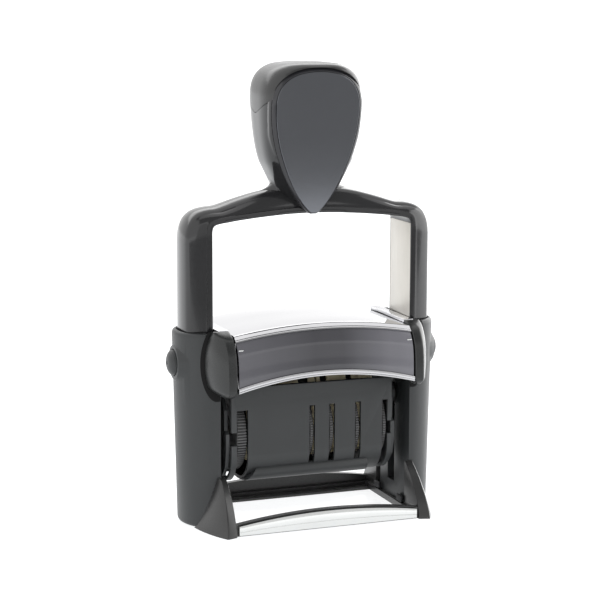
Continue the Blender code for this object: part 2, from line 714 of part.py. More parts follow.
def make_band(dial, x0, x1, parent):
    """A belt with raised type: pairs of samples stand at the foot and the top of each character."""
    raw = band_path()
    lengths = [0.0]
    for (p, _), (q, _) in zip(raw, raw[1:] + raw[:1]):
        lengths.append(lengths[-1] + math.dist(p, q))
    total = lengths[-1]
    cells = 13
    inner, outer = [], []

    def sample(distance, grow):
        distance %= total
        i = max(k for k in range(len(raw)) if lengths[k] <= distance)
        p, n = raw[i]
        q, m = raw[(i + 1) % len(raw)]
        span = lengths[i + 1] - lengths[i]
        t = (distance - lengths[i]) / span if span else 0.0
        point = (p[0] + (q[0] - p[0]) * t, p[1] + (q[1] - p[1]) * t)
        normal = Vector((n[0] + (m[0] - n[0]) * t, n[1] + (m[1] - n[1]) * t)).normalized()
        return (point[0] + normal.x * grow, point[1] + normal.y * grow)

    start = lengths[90]
    for cell in range(cells):
        pitch = total / cells
        for share, high in ((-0.44, 0), (-0.38, 1), (0.38, 1), (0.44, 0)):
            place = start + (cell + share) * pitch
            inner.append(sample(place, 0.0))
            outer.append(sample(place, BAND_T + TYPE_H * high))
    name = dial + "_band"
    rings = [[(x, y, z) for y, z in loop]
             for x, loop in ((x0, inner), (x0, outer), (x1, outer), (x1, inner))]
    dress(solid(name, rings, closed=True), rubber(name), parent, 25)


def make_dial(dial, spec, axle):
    flange_a, flange_b, hub_end, radius, teeth, band_x0, band_x1 = spec
    count = 2 * teeth
    bore = SHAFT_R + GAP

    def ring(x, r, depth=0.0):
        return [(x, SHAFT_Y + (r - depth * (i % 2)) * math.cos(math.pi * i / teeth),
                 SHAFT_Z + (r - depth * (i % 2)) * math.sin(math.pi * i / teeth))
                for i in range(count)]

    rings = [ring(flange_a, bore), ring(flange_a, radius, 1.0), ring(flange_b, radius, 1.0),
             ring(flange_b, HUB_R), ring(hub_end, HUB_R), ring(hub_end, bore)]
    name = dial + "_wheel"
    dress(solid(name, rings, closed=True), matte_plastic(name), axle)


def main():
    clear_scene()
    for side in (-1, 1):
        make_column(side)
    make_base()
    make_base_trims()
    make_dampers()
    make_bridge_caps()
    make_bridge_cover()
    make_windows()
    make_bridge_frame()
    make_cartridge(pivot("cartridge_guide", (0, 0, CARTRIDGE_Z[0])))
    handle = pivot("handle_guide", (0, 0, COLUMN_H))
    make_bow(handle)
    make_rails_and_axles(handle)
    make_knob(handle)
    make_springs()
    make_lock_buttons({side: pivot(side_name(side) + "_lock_guide", (side * BOSS_X, 0, LOCK_Z))
                       for side in (-1, 1)})
    carriage = pivot("flip_axis", (0, 0, FLIP_Z))
    make_carriage_cover(carriage)
    make_end_plates(carriage)
    make_shaft_and_bar(carriage)
    axle = pivot("wheel_axis", (0, SHAFT_Y, SHAFT_Z))
    axle.parent = carriage
    axle.matrix_parent_inverse = carriage.matrix_world.inverted()
    bpy.context.view_layer.update()
    for dial, spec in DIALS.items():
        make_dial(dial, spec, axle)
        make_band(dial, spec[5], spec[6], carriage)


main()
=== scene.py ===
"""The looks of the rotary date stamp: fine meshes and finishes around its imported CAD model.

Lengths below are in millimetres in the CAD frame (+Z up, front at -Y) and MM turns them into metres.
"""
import json
from math import copysign, cos, dist, hypot, pi, radians, sin, sqrt, tau

import bmesh
import bpy
from mathutils import Matrix, Vector


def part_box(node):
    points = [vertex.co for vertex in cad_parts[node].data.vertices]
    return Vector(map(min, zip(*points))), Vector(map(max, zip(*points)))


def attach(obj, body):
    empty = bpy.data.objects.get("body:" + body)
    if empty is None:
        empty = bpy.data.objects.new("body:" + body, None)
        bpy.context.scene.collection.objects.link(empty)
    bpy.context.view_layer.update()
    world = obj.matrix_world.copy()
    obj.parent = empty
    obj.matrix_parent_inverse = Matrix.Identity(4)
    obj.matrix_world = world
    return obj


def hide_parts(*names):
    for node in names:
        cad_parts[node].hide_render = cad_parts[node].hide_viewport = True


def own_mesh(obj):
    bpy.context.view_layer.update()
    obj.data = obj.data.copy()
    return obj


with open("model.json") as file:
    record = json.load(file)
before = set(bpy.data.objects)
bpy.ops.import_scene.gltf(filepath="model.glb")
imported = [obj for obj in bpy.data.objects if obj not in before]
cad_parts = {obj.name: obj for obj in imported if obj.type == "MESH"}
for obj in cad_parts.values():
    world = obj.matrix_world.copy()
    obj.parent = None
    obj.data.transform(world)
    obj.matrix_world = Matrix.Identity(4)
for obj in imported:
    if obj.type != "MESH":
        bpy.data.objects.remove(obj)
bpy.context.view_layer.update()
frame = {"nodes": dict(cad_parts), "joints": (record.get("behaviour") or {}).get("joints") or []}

MM = 0.001


def edge(node, axis, high):
    """A CAD node's lowest (high 0) or highest (high 1) coordinate along axis, in millimetres."""
    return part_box(node)[high][axis] / MM


def joint_place(name):
    return [value / MM for value in next(j for j in frame["joints"] if j["name"] == name)["pos_m"]]


# Driving sizes, read from the frame
COLUMN_H = edge("left_column", 2, 1)
COLUMN_INNER_X = edge("right_column", 0, 0)
LEG_FOOT_Z = edge("handle_bow", 2, 0)
LEG_OUTER_X = edge("handle_bow", 0, 1)
KNOB_TOP_Z = edge("knob_cap", 2, 1)
PLATE_TIP_Z, PLATE_TOP_Z = edge("knob_front_plate", 2, 0), edge("knob_front_plate", 2, 1) + 1.0
PLATE_HALF = edge("knob_front_plate", 0, 1)
BRIDGE_X = edge("bridge_cover", 0, 1)
FIN_REACH = edge("base_frame", 1, 1)
COVER_X = (edge("carriage_cover", 0, 0), edge("carriage_cover", 0, 1))
COVER_Z = (edge("carriage_cover", 2, 0), edge("carriage_cover", 2, 1))
COVER_HALF_Y = edge("carriage_cover", 1, 1)
SHAFT = joint_place("month_turn")[1:]
LOCK_TIP_X = edge("right_lock_button", 0, 1)
LOCK_Z = (edge("right_lock_button", 2, 0) + edge("right_lock_button", 2, 1)) / 2

SIDES = {-1: "left", 1: "right"}
ENDS = {-1: "front", 1: "rear"}

# Sizes of the detail
COLUMN_MID_X, COLUMN_RY = 36.0, 13.0
COLUMN_RX_TOP, COLUMN_RX_FOOT = 12.3, 10.6
BASE_X, FIN_H, FIN_TIP_Y = 33.0, 17.9, 14.4
BAR_HALF_X, BAR_Y = 35.0, (22.7, 24.9)
BAR_TOP, BAR_RISE = 4.2, 2.6
RAIL_X, RAIL_H = (32.6, 33.7), 2.2
FIN_INNER_X = 33.8
LEG_INNER_X, LEG_HALF_Y = 36.7, 9.4
LIP, CREASE_DROP, FACE_SLOPE = 2.1, 1.0, 3.1
AXLE_SLOT_HALF_Y, AXLE_SLOT_Z = 2.9, (8.0, 44.5)
RECESS_R, BUTTON_BORE_R = 4.8, 2.6
STEEL_HALF_Y, STEEL_TOP_Z, STEEL_T = 8.93, 103.2, 0.95
FIN_STAND, CAP_STAND = 0.35, 0.40
FACE_FOOT_Z = 49.3
# the bridge's front line: height, distance from the middle
FACE_LINE = [(FACE_FOOT_Z, 24.1), (56.0, 23.95), (60.6, 23.4), (63.0, 22.6), (65.0, 21.5), (66.5, 20.4),
             (67.5, 19.4), (68.6, 17.0), (69.6, 13.4)]
FACE_TOP_Z, TOP_RISE, FOOT_RISE = 67.5, 3.0, 4.4
REAR_FOOT_Z = 60.3
# the cap, and the dark strip of painted groove shade round it, end on the column in half an oval round this
# point: reach, half height
LENS_X, LENS_Z = 36.6, 58.0
CAP_OVAL, GROOVE_SHADE_OVAL = (4.2, 12.2), (5.5, 13.2)
GROOVE_SHADE_Z = (44.9, 69.0)
RIM, TOP_RIM = 1.9, 1.25
WINDOW_SET_BACK = 0.45
PLATE_T = 1.3
# by side, -1 in front and 1 behind: the plate's depth at its tip, its lean, and how full the knob is
PLATE_TIP_Y = {-1: 9.5, 1: 8.0}
PLATE_LEAN = {-1: 0.101, 1: 0.049}
KNOB_FULLNESS = {-1: 1.12, 1: 1.0}
PART_LINE_Z, PART_LINE_RISE = 142.6, 4.2
KNOB_FOOT_Z, BODY_TOP_Z, CAP_FOOT_Z, CAP_ROUND_Z = 108.0, 153.5, 140.0, 152.0
SPRING_X, POCKET_R, POCKET_TOP_Z = 42.1, 3.4, 74.2
HUB_R, BAND_T, TYPE_H = 9.2, 0.9, 0.55
BAND_CELLS = 13
BAR_CORNERS, BAR_CORNER_R = ((-2.6, 48.7), (2.6, 48.7)), 1.4


# ---------------------------------------------------------------- mesh tools

def loft(name, rings, closed=False):
    """A body of quads through equal rings of points, with its ends capped or joined into a loop."""
    mesh = bmesh.new()
    rows = [[mesh.verts.new(Vector(p) * MM) for p in ring] for ring in rings]
    pairs = list(zip(rows, rows[1:])) + ([(rows[-1], rows[0])] if closed else [])
    count = len(rows[0])
    for low, high in pairs:
        for i in range(count):
            j = (i + 1) % count
            mesh.faces.new((low[i], low[j], high[j], high[i]))
    if not closed:
        mesh.faces.new(rows[0])
        mesh.faces.new(rows[-1])
    bmesh.ops.recalc_face_normals(mesh, faces=mesh.faces)
    return to_object(name, mesh)


def to_object(name, mesh):
    data = bpy.data.meshes.new(name)
    mesh.to_mesh(data)
    mesh.free()
    made = bpy.data.objects.new(name, data)
    bpy.context.scene.collection.objects.link(made)
    return made


def prism(name, outline, axis, start, end):
    """An outline of two coordinates pushed along axis 0, 1 or 2."""
    def point(pair, along):
        place = list(pair)
        place.insert(axis, along)
        return tuple(place)
    return loft(name, [[point(pair, along) for pair in outline] for along in (start, end)])


def box(name, x, y, z):
    x = sorted(x)
    return prism(name, [(x[0], y[0]), (x[1], y[0]), (x[1], y[1]), (x[0], y[1])], 2, *z)


def polar(mid, radius, angle):
    return mid[0] + radius * cos(angle), mid[1] + radius * sin(angle)


def circle(mid, radius, count):
    turn = tau / count
    return [polar(mid, radius, i * turn) for i in range(count)]


def apply_modifiers(piece):
    bpy.context.view_layer.update()
    graph = bpy.context.evaluated_depsgraph_get()
    done = bpy.data.meshes.new_from_object(piece.evaluated_get(graph))
    piece.modifiers.clear()
    piece.data = done


def combine(target, tools, operation):
    """Joins the tools to the target, or cuts them from it, and removes them."""
    for tool in tools:
        step = target.modifiers.new(operation.lower(), "BOOLEAN")
        step.operation = operation
        step.object = tool
    apply_modifiers(target)
    for tool in tools:
        bpy.data.objects.remove(tool, do_unlink=True)
    return target


def round_edges(piece, width, segments=2, angle=40):
    step = piece.modifiers.new("edges", "BEVEL")
    step.width = width * MM
    step.segments = segments
    step.limit_method = "ANGLE"
    step.angle_limit = radians(angle)
    step.use_clamp_overlap = True
    apply_modifiers(piece)
    return piece


def place(piece, body, material, slot, *nodes, crease=32):
    """Gives a piece its finish and smooth shading, and puts it on its body for the nodes it stands for."""
    piece.data.materials.clear()
    piece.data.materials.append(material)
    piece.data.shade_smooth()
    piece.data.set_sharp_from_angle(angle=radians(crease))
    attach(piece, body)
    if nodes:
        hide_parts(*nodes)
    return piece


def through(points, steps):
    """Points on the smooth curve through the given ones, with steps on each span."""
    padded = [points[0], *points, points[-1]]
    made = []
    for a, b, c, d in zip(padded, padded[1:], padded[2:], padded[3:]):
        for i in range(steps):
            t = i / steps
            made.append(tuple(
                0.5 * (2 * q + (r - p) * t + (2 * p - 5 * q + 4 * r - s) * t * t
                       + (3 * q - p - 3 * r + s) * t ** 3)
                for p, q, r, s in zip(a, b, c, d)))
    return made + [tuple(points[-1])]


def between(table, z):
    """Values at z on the smooth curve through rows of (z, value, value, ...)."""
    if z <= table[0][0]:
        return table[0][1:]
    for i, (low, high) in enumerate(zip(table, table[1:])):
        if z <= high[0]:
            before = table[max(i - 1, 0)]
            after = table[min(i + 2, len(table) - 1)]
            t = (z - low[0]) / (high[0] - low[0])
            made = []
            for k in range(1, len(low)):
                step = high[0] - low[0]
                rise_low = (high[k] - before[k]) / (high[0] - before[0]) * step
                rise_high = (after[k] - low[k]) / (after[0] - low[0]) * step
                made.append((2 * t ** 3 - 3 * t * t + 1) * low[k] + (t ** 3 - 2 * t * t + t) * rise_low
                            + (3 * t * t - 2 * t ** 3) * high[k] + (t ** 3 - t * t) * rise_high)
            return tuple(made)
    return table[-1][1:]


def bezier(a, b, c, count):
    steps = [(i + 1) / count for i in range(count)]
    return [tuple((1 - t) ** 2 * p + 2 * t * (1 - t) * q + t * t * r for p, q, r in zip(a, b, c))
            for t in steps]


def bowed(start, end, pull_x, pull_y, count):
    """A curve from start to end, pulled away from the middle of the straight line."""
    pull = ((start[0] + end[0]) / 2 + pull_x, (start[1] + end[1]) / 2 + pull_y)
    return bezier(start, pull, end, count)


def cubic(a, b, c, d, count):
    steps = [(i + 1) / count for i in range(count)]
    return [tuple((1 - t) ** 3 * p + 3 * t * (1 - t) ** 2 * q + 3 * t * t * (1 - t) * r + t ** 3 * s
                  for p, q, r, s in zip(a, b, c, d)) for t in steps]


def spread_between(low, high, count):
    """Ends of count equal steps from low to high."""
    return [low + (high - low) * i / count for i in range(count + 1)]


# ---------------------------------------------------------------- finishes

def add_node(tree, kind, **values):
    made = tree.nodes.new("ShaderNode" + kind)
    for key, value in values.items():
        made.inputs[key].default_value = value
    return made


def mapped(tree, source, low, high, to_low, to_high):
    """The source's values with low..high spread over to_low..to_high."""
    made = add_node(tree, "MapRange")
    for key, value in zip(("From Min", "From Max", "To Min", "To Max"), (low, high, to_low, to_high)):
        made.inputs[key].default_value = value
    tree.links.new(source, made.inputs["Value"])
    return made.outputs["Result"]


FINISHES = {}


def finish(name, colour, roughness, metallic=0.0, grain=0.0, grain_scale=4200.0, stretch=(1, 1, 1),
           variation=0.10, spread=0.05, edge_wear_and_glint=0.0, coat=0.0, specular=0.5):
    """Adds a moulded or metal surface: fine grain, uneven gloss, broad colour drift, and lightened edges that
    are partly wear and partly a painted glint.
    """
    material = FINISHES[name] = bpy.data.materials.new(name)
    material.use_nodes = True
    tree = material.node_tree
    link = tree.links.new
    shader = tree.nodes["Principled BSDF"]
    shader.inputs["Metallic"].default_value = metallic
    shader.inputs["Specular IOR Level"].default_value = specular
    if coat:
        shader.inputs["Coat Weight"].default_value = coat
        shader.inputs["Coat Roughness"].default_value = 0.04

    in_piece = add_node(tree, "TexCoord").outputs["Object"]
    mapping = add_node(tree, "Mapping", Scale=stretch)
    link(in_piece, mapping.inputs["Vector"])
    broad = add_node(tree, "TexNoise", Scale=55.0, Detail=3.0)
    link(in_piece, broad.inputs["Vector"])
    fine = add_node(tree, "TexNoise", Scale=grain_scale, Detail=4.0, Roughness=0.6)
    link(mapping.outputs["Vector"], fine.inputs["Vector"])

    tint = add_node(tree, "ValToRGB")
    for stop, at, shade in zip(tint.color_ramp.elements, (0.35, 0.65), (1 - variation, 1 + variation)):
        stop.color = (*[min(1.0, channel * shade) for channel in colour], 1.0)
        stop.position = at
    link(broad.outputs["Fac"], tint.inputs["Fac"])
    base = tint.outputs["Color"]
    # Convex edges lightened: wear, and on the wheels' teeth a painted glint.
    if edge_wear_and_glint:
        pointiness = add_node(tree, "NewGeometry").outputs["Pointiness"]
        mix = add_node(tree, "Mix")
        mix.data_type = "RGBA"
        mix.inputs["B"].default_value = (*[min(1.0, channel * 2.6 + 0.03) for channel in colour], 1.0)
        link(mapped(tree, pointiness, 0.53, 0.62, 0.0, edge_wear_and_glint), mix.inputs["Factor"])
        link(base, mix.inputs["A"])
        base = mix.outputs["Result"]
    link(base, shader.inputs["Base Color"])

    gloss = mapped(tree, fine.outputs["Fac"], 0.3, 0.7, max(0.02, roughness - spread), roughness + spread)
    link(gloss, shader.inputs["Roughness"])
    if grain:
        bump = add_node(tree, "Bump", Strength=grain, Distance=0.02 * MM)
        link(fine.outputs["Fac"], bump.inputs["Height"])
        link(bump.outputs["Normal"], shader.inputs["Normal"])
    return material


# Tones across the window from left to right: painted reflection, darkest in the middle and lighter towards
# both ends.
WINDOW_PAINTED_REFLECTION = [(0.0, 0.095), (0.25, 0.070), (0.42, 0.050), (0.58, 0.052), (0.80, 0.105), (1.0, 0.150)]


def window_finish():
    """Dark tinted window, with painted reflection that is darkest in the middle and lighter towards both
    ends, and faint upright painted shadows of the holder behind it.
    """
    tree = finish("index_window", (0.06, 0.06, 0.07), 0.10, variation=0.06, spread=0.02).node_tree
    link = tree.links.new
    in_piece = add_node(tree, "TexCoord").outputs["Object"]
    mapping = add_node(tree, "Mapping", Scale=(70.0, 2.0, 4.0))
    # Noise streaks up the window: painted shadows of the holder behind it.
    painted_shadow_streaks = add_node(tree, "TexNoise", Scale=1.0)
    across = add_node(tree, "SeparateXYZ")
    sway = add_node(tree, "Math")
    sway.operation = "MULTIPLY_ADD"
    sway.inputs[1].default_value, sway.inputs[2].default_value = 0.16, -0.08
    shifted = add_node(tree, "Math")
    shifted.operation = "ADD"
    ramp = add_node(tree, "ValToRGB")
    elements = ramp.color_ramp.elements
    for index, (at, shade) in enumerate(WINDOW_PAINTED_REFLECTION):
        inner = 0 < index < len(WINDOW_PAINTED_REFLECTION) - 1
        stop = elements.new(at) if inner else elements[-1 if index else 0]
        stop.position = at
        stop.color = (shade, shade * 0.985, shade * 1.10, 1)
    link(in_piece, mapping.inputs["Vector"])
    link(mapping.outputs["Vector"], painted_shadow_streaks.inputs["Vector"])
    link(in_piece, across.inputs["Vector"])
    link(painted_shadow_streaks.outputs["Fac"], sway.inputs[0])
    place_x = mapped(tree, across.outputs["X"], -BRIDGE_X * MM, BRIDGE_X * MM, 0.0, 1.0)
    link(place_x, shifted.inputs[0])
    link(sway.outputs["Value"], shifted.inputs[1])
    link(shifted.outputs["Value"], ramp.inputs["Fac"])
    link(ramp.outputs["Color"], tree.nodes["Principled BSDF"].inputs["Base Color"])


finish("casing", (0.019, 0.021, 0.022), 0.42, grain=0.35, variation=0.06, edge_wear_and_glint=0.12)
finish("carriage", (0.021, 0.023, 0.024), 0.46, grain=0.5, variation=0.06, edge_wear_and_glint=0.15)
# The wheel's strong edge lightening is a painted glint on the tooth tips, as well as wear.
finish("wheel", (0.048, 0.048, 0.049), 0.34, grain=0.3, edge_wear_and_glint=0.6)
finish("handle", (0.012, 0.012, 0.013), 0.15, grain=0.06, grain_scale=900.0, spread=0.03, coat=0.2)
finish("bridge_cap", (0.010, 0.011, 0.011), 0.29, grain=0.12, spread=0.03)
finish("knob_cap", (0.024, 0.024, 0.024), 0.22, grain=0.12, variation=0.05)
finish("knob_plate", (0.190, 0.196, 0.212), 0.14, metallic=1.0, grain=0.03, variation=0.02, spread=0.03)
chrome = dict(metallic=1.0, grain=0.05, grain_scale=600.0, variation=0.02, spread=0.02)
finish("bridge_chrome", (0.575, 0.572, 0.585), 0.09, **chrome)
finish("base_chrome", (0.665, 0.672, 0.662), 0.07, **chrome)
finish("bright_strip", (0.62, 0.62, 0.64), 0.22, metallic=1.0, grain=0.2, variation=0.04)
# The plate's bevel in dark plastic: painted shade on what is the plate's own metal bevel.
finish("plate_border_painted_shade", (0.020, 0.020, 0.023), 0.20, grain=0.04, spread=0.03)
# Near-black rough strip round each cap: painted shade standing in for a groove.
finish("painted_groove_shade", (0.005, 0.005, 0.005), 0.60, grain=0.4, specular=0.15)
finish("base", (0.021, 0.021, 0.021), 0.30, grain=0.25, variation=0.05, spread=0.04, edge_wear_and_glint=0.08)
finish("steel", (0.480, 0.462, 0.427), 0.34, metallic=1.0, grain=0.5, grain_scale=3800.0,
       stretch=(1, 1, 0.03), variation=0.03, spread=0.07)
finish("type_band", (0.76, 0.68, 0.47), 0.55, grain=0.6, grain_scale=2500.0, variation=0.18)
finish("ink_pad", (0.012, 0.012, 0.030), 0.85, grain=1.0, grain_scale=1500.0)
finish("damper", (0.016, 0.016, 0.018), 0.70, grain=0.8, grain_scale=2500.0)
window_finish()


# ---------------------------------------------------------------- columns and base

def column_rx(z):
    """The column's outward half width, tapered from its rim to its foot."""
    return COLUMN_RX_FOOT + (COLUMN_RX_TOP - COLUMN_RX_FOOT) * z / COLUMN_H


def column_surface_y(x, z, grow=0.0):
    """How far forward the column's skin is at x and z, with the skin moved out by grow."""
    across = min(abs(x - COLUMN_MID_X) / (column_rx(z) + grow), 1.0)
    return (COLUMN_RY + grow) * sqrt(1 - across * across)


def column_outline(side, z, inset):
    turn = [radians(a) for a in spread_between(-93, 93, 60)]
    skin = [(COLUMN_MID_X + (column_rx(z) - inset) * cos(t), (COLUMN_RY - inset) * sin(t)) for t in turn]
    back = COLUMN_INNER_X + inset * 0.4
    return [(side * x, y) for x, y in skin + [(back, 9.6), (back, -9.6)]]


def handle_section(height, half):
    """Half of the handle's section: (distance out from the inner face, distance from the middle)."""
    points = [(0.0, 0.0), (0.0, half * 0.6), (0.0, half - 0.6), (0.07, half - 0.28), (0.24, half - 0.08),
              (0.45, half), (LIP - 0.25, half), (LIP - 0.06, half - 0.07), (LIP, half - 0.25),
              (LIP + 0.06, half - 0.5), (LIP + 0.3, half - 0.62)]
    start, end = (LIP + 0.3, half - 0.62), (height - CREASE_DROP - 0.9, half - FACE_SLOPE + 0.55)
    points += bowed(start, end, 0.4, 0.4, 7)
    side = half - FACE_SLOPE
    round_end = (height - CREASE_DROP * 0.80 ** 2.2, side * 0.80)
    points += bezier(end, (height - CREASE_DROP, side), round_end, 6)
    for share in (0.68, 0.52, 0.36, 0.18, 0.0):
        points.append((height - CREASE_DROP * share ** 2.2, side * share))
    return points


def section_loop(height, half):
    rear = handle_section(height, half)
    return [(s, -y) for s, y in rear] + [(s, y) for s, y in reversed(rear[1:-1])]


def leg_outline(side, grow):
    """The leg's section grown on all sides, for the well that it slides in."""
    height = LEG_OUTER_X - LEG_INNER_X
    made = []
    for s, y in section_loop(height, LEG_HALF_Y):
        if s < LIP + 0.45 and abs(y) > LEG_HALF_Y - 0.7:
            y = copysign(LEG_HALF_Y, y)
        x_mid, y_scale = LEG_INNER_X + height / 2, (LEG_HALF_Y + grow) / LEG_HALF_Y
        x = x_mid + (LEG_INNER_X + s - x_mid) * (height / 2 + grow) / (height / 2)
        made.append((side * x, y * y_scale))
    return made


def make_column(side):
    name = SIDES[side] + "_column"
    levels = [(0.0, 0.9), (0.25, 0.45), (0.7, 0.12), (1.3, 0.0), (20.0, 0.0), (40.0, 0.0), (60.0, 0.0),
              (COLUMN_H - 1.5, 0.0), (COLUMN_H - 0.8, 0.14), (COLUMN_H - 0.35, 0.42),
              (COLUMN_H - 0.1, 0.8), (COLUMN_H, 1.25)]
    body = loft(name, [[(x, y, z) for x, y in column_outline(side, z, inset)] for z, inset in levels])
    front = LOCK_TIP_X - 2.3
    profile = [(42.0, 10.2), (44.2, 9.2), (45.6, 8.3), (47.0, 7.15), (front - 0.45, 6.25),
               (front - 0.12, 5.95), (front, 5.6)]
    boss = loft("boss", [[(side * x, y, z) for y, z in circle((0, LOCK_Z), r, 64)] for x, r in profile])
    combine(body, [boss], "UNION")
    well = loft("well", [[(x, y, z) for x, y in leg_outline(side, grow)]
                         for z, grow in ((2.0, 0.35), (COLUMN_H - 0.7, 0.35), (COLUMN_H - 0.2, 0.55),
                                         (COLUMN_H + 0.6, 1.3))])
    slot = box("slot", (side * (COLUMN_INNER_X - 2), side * (LEG_INNER_X + 2)),
               (-AXLE_SLOT_HALF_Y, AXLE_SLOT_HALF_Y), AXLE_SLOT_Z)
    recess = prism("recess", circle((0, LOCK_Z), RECESS_R, 64), 0, side * (front - 1.4), side * 55)
    hole = prism("hole", circle((0, LOCK_Z), BUTTON_BORE_R, 24), 0, side * 44, side * 50)
    combine(body, [well, slot, recess, hole], "DIFFERENCE")
    place(body, "casing", FINISHES["casing"], "casing", name, crease=28)


def fin_rings(side, way):
    """The corner fin, from its foot to its tip: a flat front, a crease, and a curve back to the column."""
    rings = []
    for i in range(26):
        level = sin(pi / 2 * i / 25.5)
        z = FIN_H * level
        front = FIN_TIP_Y + (FIN_REACH - FIN_TIP_Y) * (1 - level ** 1.5) ** 0.8
        crease = (37.5 - 1.6 * level, front)
        edge_x = 44.0 - 7.4 * level ** 0.8
        side_edge = (edge_x, column_surface_y(edge_x, z, FIN_STAND))
        bend = ((crease[0] + side_edge[0]) / 2 + 1.8 * (1 - level), (crease[1] + side_edge[1]) / 2 + 0.9)
        round_off = min(0.22, 0.3 * (1 - level))
        ring = [(FIN_INNER_X, 13.0), (FIN_INNER_X, front - 1.4), (FIN_INNER_X + 0.12, front - 1.1),
                (FIN_INNER_X + 0.4, front - 0.98), (crease[0] - 2 * round_off, front - 0.12)]
        ring += bezier((crease[0] - 2 * round_off, front - 0.12), crease,
                       (crease[0] + round_off, front - round_off * 0.8), 3)
        ring += bezier((crease[0] + round_off, front - round_off * 0.8), bend, side_edge, 14)
        for x in spread_between(edge_x, 35.4, 6)[1:]:
            ring.append((x, column_surface_y(x, z, FIN_STAND) - 0.6))
        rings.append([(side * x, way * y, z) for x, y in ring])
    return rings


def bar_top(x):
    return BAR_TOP + BAR_RISE * (1 - (x / BASE_X) ** 2)


def arched_bar(name, start_y, end_y):
    arch_line = [(x, bar_top(x)) for x in spread_between(-BAR_HALF_X, BAR_HALF_X, 48)]
    return prism(name, [(-BAR_HALF_X, 0.0), *arch_line, (BAR_HALF_X, 0.0)], 1, start_y, end_y)


def make_base():
    """Two arched bars, two thin rails and four fins, with a step and a flange inside the rear bar."""
    body = arched_bar("base_frame", -BAR_Y[1], -BAR_Y[0])
    joined = [arched_bar("bar", *BAR_Y),
              box("step", (-34.0, 34.0), (20.8, 23.0), (0.0, 2.0)),
              box("flange", (-34.0, 34.0), (16.4, 21.0), (0.0, 0.8))]
    for side in SIDES:
        joined.append(box("rail", [side * x for x in RAIL_X], (-15, 15), (0, RAIL_H)))
        for way in ENDS:
            ends = sorted((way * 13.6, way * 23.4))
            joined.append(box("tie", (side * RAIL_X[0], side * BAR_HALF_X), ends, (0, RAIL_H)))
            joined.append(loft("fin", fin_rings(side, way)))
    combine(body, joined, "UNION")
    place(body, "casing", FINISHES["base"], "casing", "base_frame", crease=30)


def make_base_trims():
    """Bright strips on the bars: an arched top, a fine step along the face and a rounded foot."""
    for way, end in ENDS.items():
        name = end + "_base_trim"
        rings = []
        for x in spread_between(-BASE_X, BASE_X, 56):
            top = bar_top(x) - 0.42
            step = top * 0.42
            face = [(25.3, 0.45), (25.85, 0.45), (26.0, 0.62), (26.0, step - 0.1), (25.88, step),
                    (25.88, step + 0.12), (26.0, step + 0.22), (26.0, top - 0.35), (25.9, top - 0.1),
                    (25.6, top), (25.3, top)]
            rings.append([(x, way * y, z) for y, z in face])
        place(loft(name, rings), "casing", FINISHES["base_chrome"], "chrome_trim", name, crease=24)


def make_dampers():
    for side in SIDES:
        for way, end in ENDS.items():
            name = f"{SIDES[side]}_{end}_damper"
            low, high = (Vector(corner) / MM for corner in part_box(name))
            pad = box(name, (low.x, high.x), (low.y, high.y), (low.z, high.z))
            place(round_edges(pad, 0.25), "casing", FINISHES["damper"], "damper", name)


# ---------------------------------------------------------------- ink bridge

def arch(x):
    return 1 - (x / BRIDGE_X) ** 2


def face_y(z, depth=0.0):
    """How far forward the bridge's face is at height z, less the depth below it."""
    return between(FACE_LINE, z)[0] - depth


def lens_edge_x(z, reach, half_height):
    """How far out the cap, or the dark strip of painted groove shade round it, goes on the column at height
    z.
    """
    return LENS_X + reach * sqrt(max(0.0, 1 - ((z - LENS_Z) / half_height) ** 2))


def cap_ring(side, way, z):
    """A section of the glossy cap, from the bridge's end round to its edge on the column."""
    front = face_y(z)
    edge_x = lens_edge_x(z, *CAP_OVAL)
    side_edge = (edge_x, column_surface_y(edge_x, z, CAP_STAND))
    crease = (35.9, front - 0.12)
    ring = [(BRIDGE_X + 0.35, 13.6), (BRIDGE_X + 0.35, front - 0.9), (BRIDGE_X + 0.42, front - 0.35),
            (BRIDGE_X + 0.7, front - 0.08), (BRIDGE_X + 1.1, front), (35.2, front), (35.7, front - 0.03)]
    ring += [crease] + bowed(crease, side_edge, 1.4, 1.1, 14)
    for share in (0.1, 0.4, 0.7, 1.0):
        x = edge_x + (35.6 - edge_x) * share
        ring.append((x, column_surface_y(x, z, CAP_STAND) - 0.5 * min(1.0, share * 5)))
    shrink = min(1.0, 0.22 + 0.78 * sqrt(max(0.0, z - 47.4) / 2.4))
    ring = [(35.0 + (x - 35.0) * shrink, 19.8 + (y - 19.8) * shrink) for x, y in ring]
    return [(side * x, way * y, z) for x, y in ring]


def groove_shade_ring(side, way, z):
    """A thin dark strip flat on the column round the cap's edge: painted shade that stands in for a groove.
    """
    across = spread_between(35.5, lens_edge_x(z, *GROOVE_SHADE_OVAL), 12)
    ring = [(x, column_surface_y(x, z, 0.14)) for x in across]
    ring += [(x, column_surface_y(x, z, -0.4)) for x in reversed(across)]
    return [(side * x, way * y, z) for x, y in ring]


def make_cap_groove_shades():
    for side in SIDES:
        for way, end in ENDS.items():
            # dark strips on the column round each cap: painted groove shade
            rings = [groove_shade_ring(side, way, z) for z in spread_between(*GROOVE_SHADE_Z, 40)]
            place(loft(f"{SIDES[side]}_{end}_cap_groove_shade", rings), "casing", FINISHES["painted_groove_shade"], "damper")


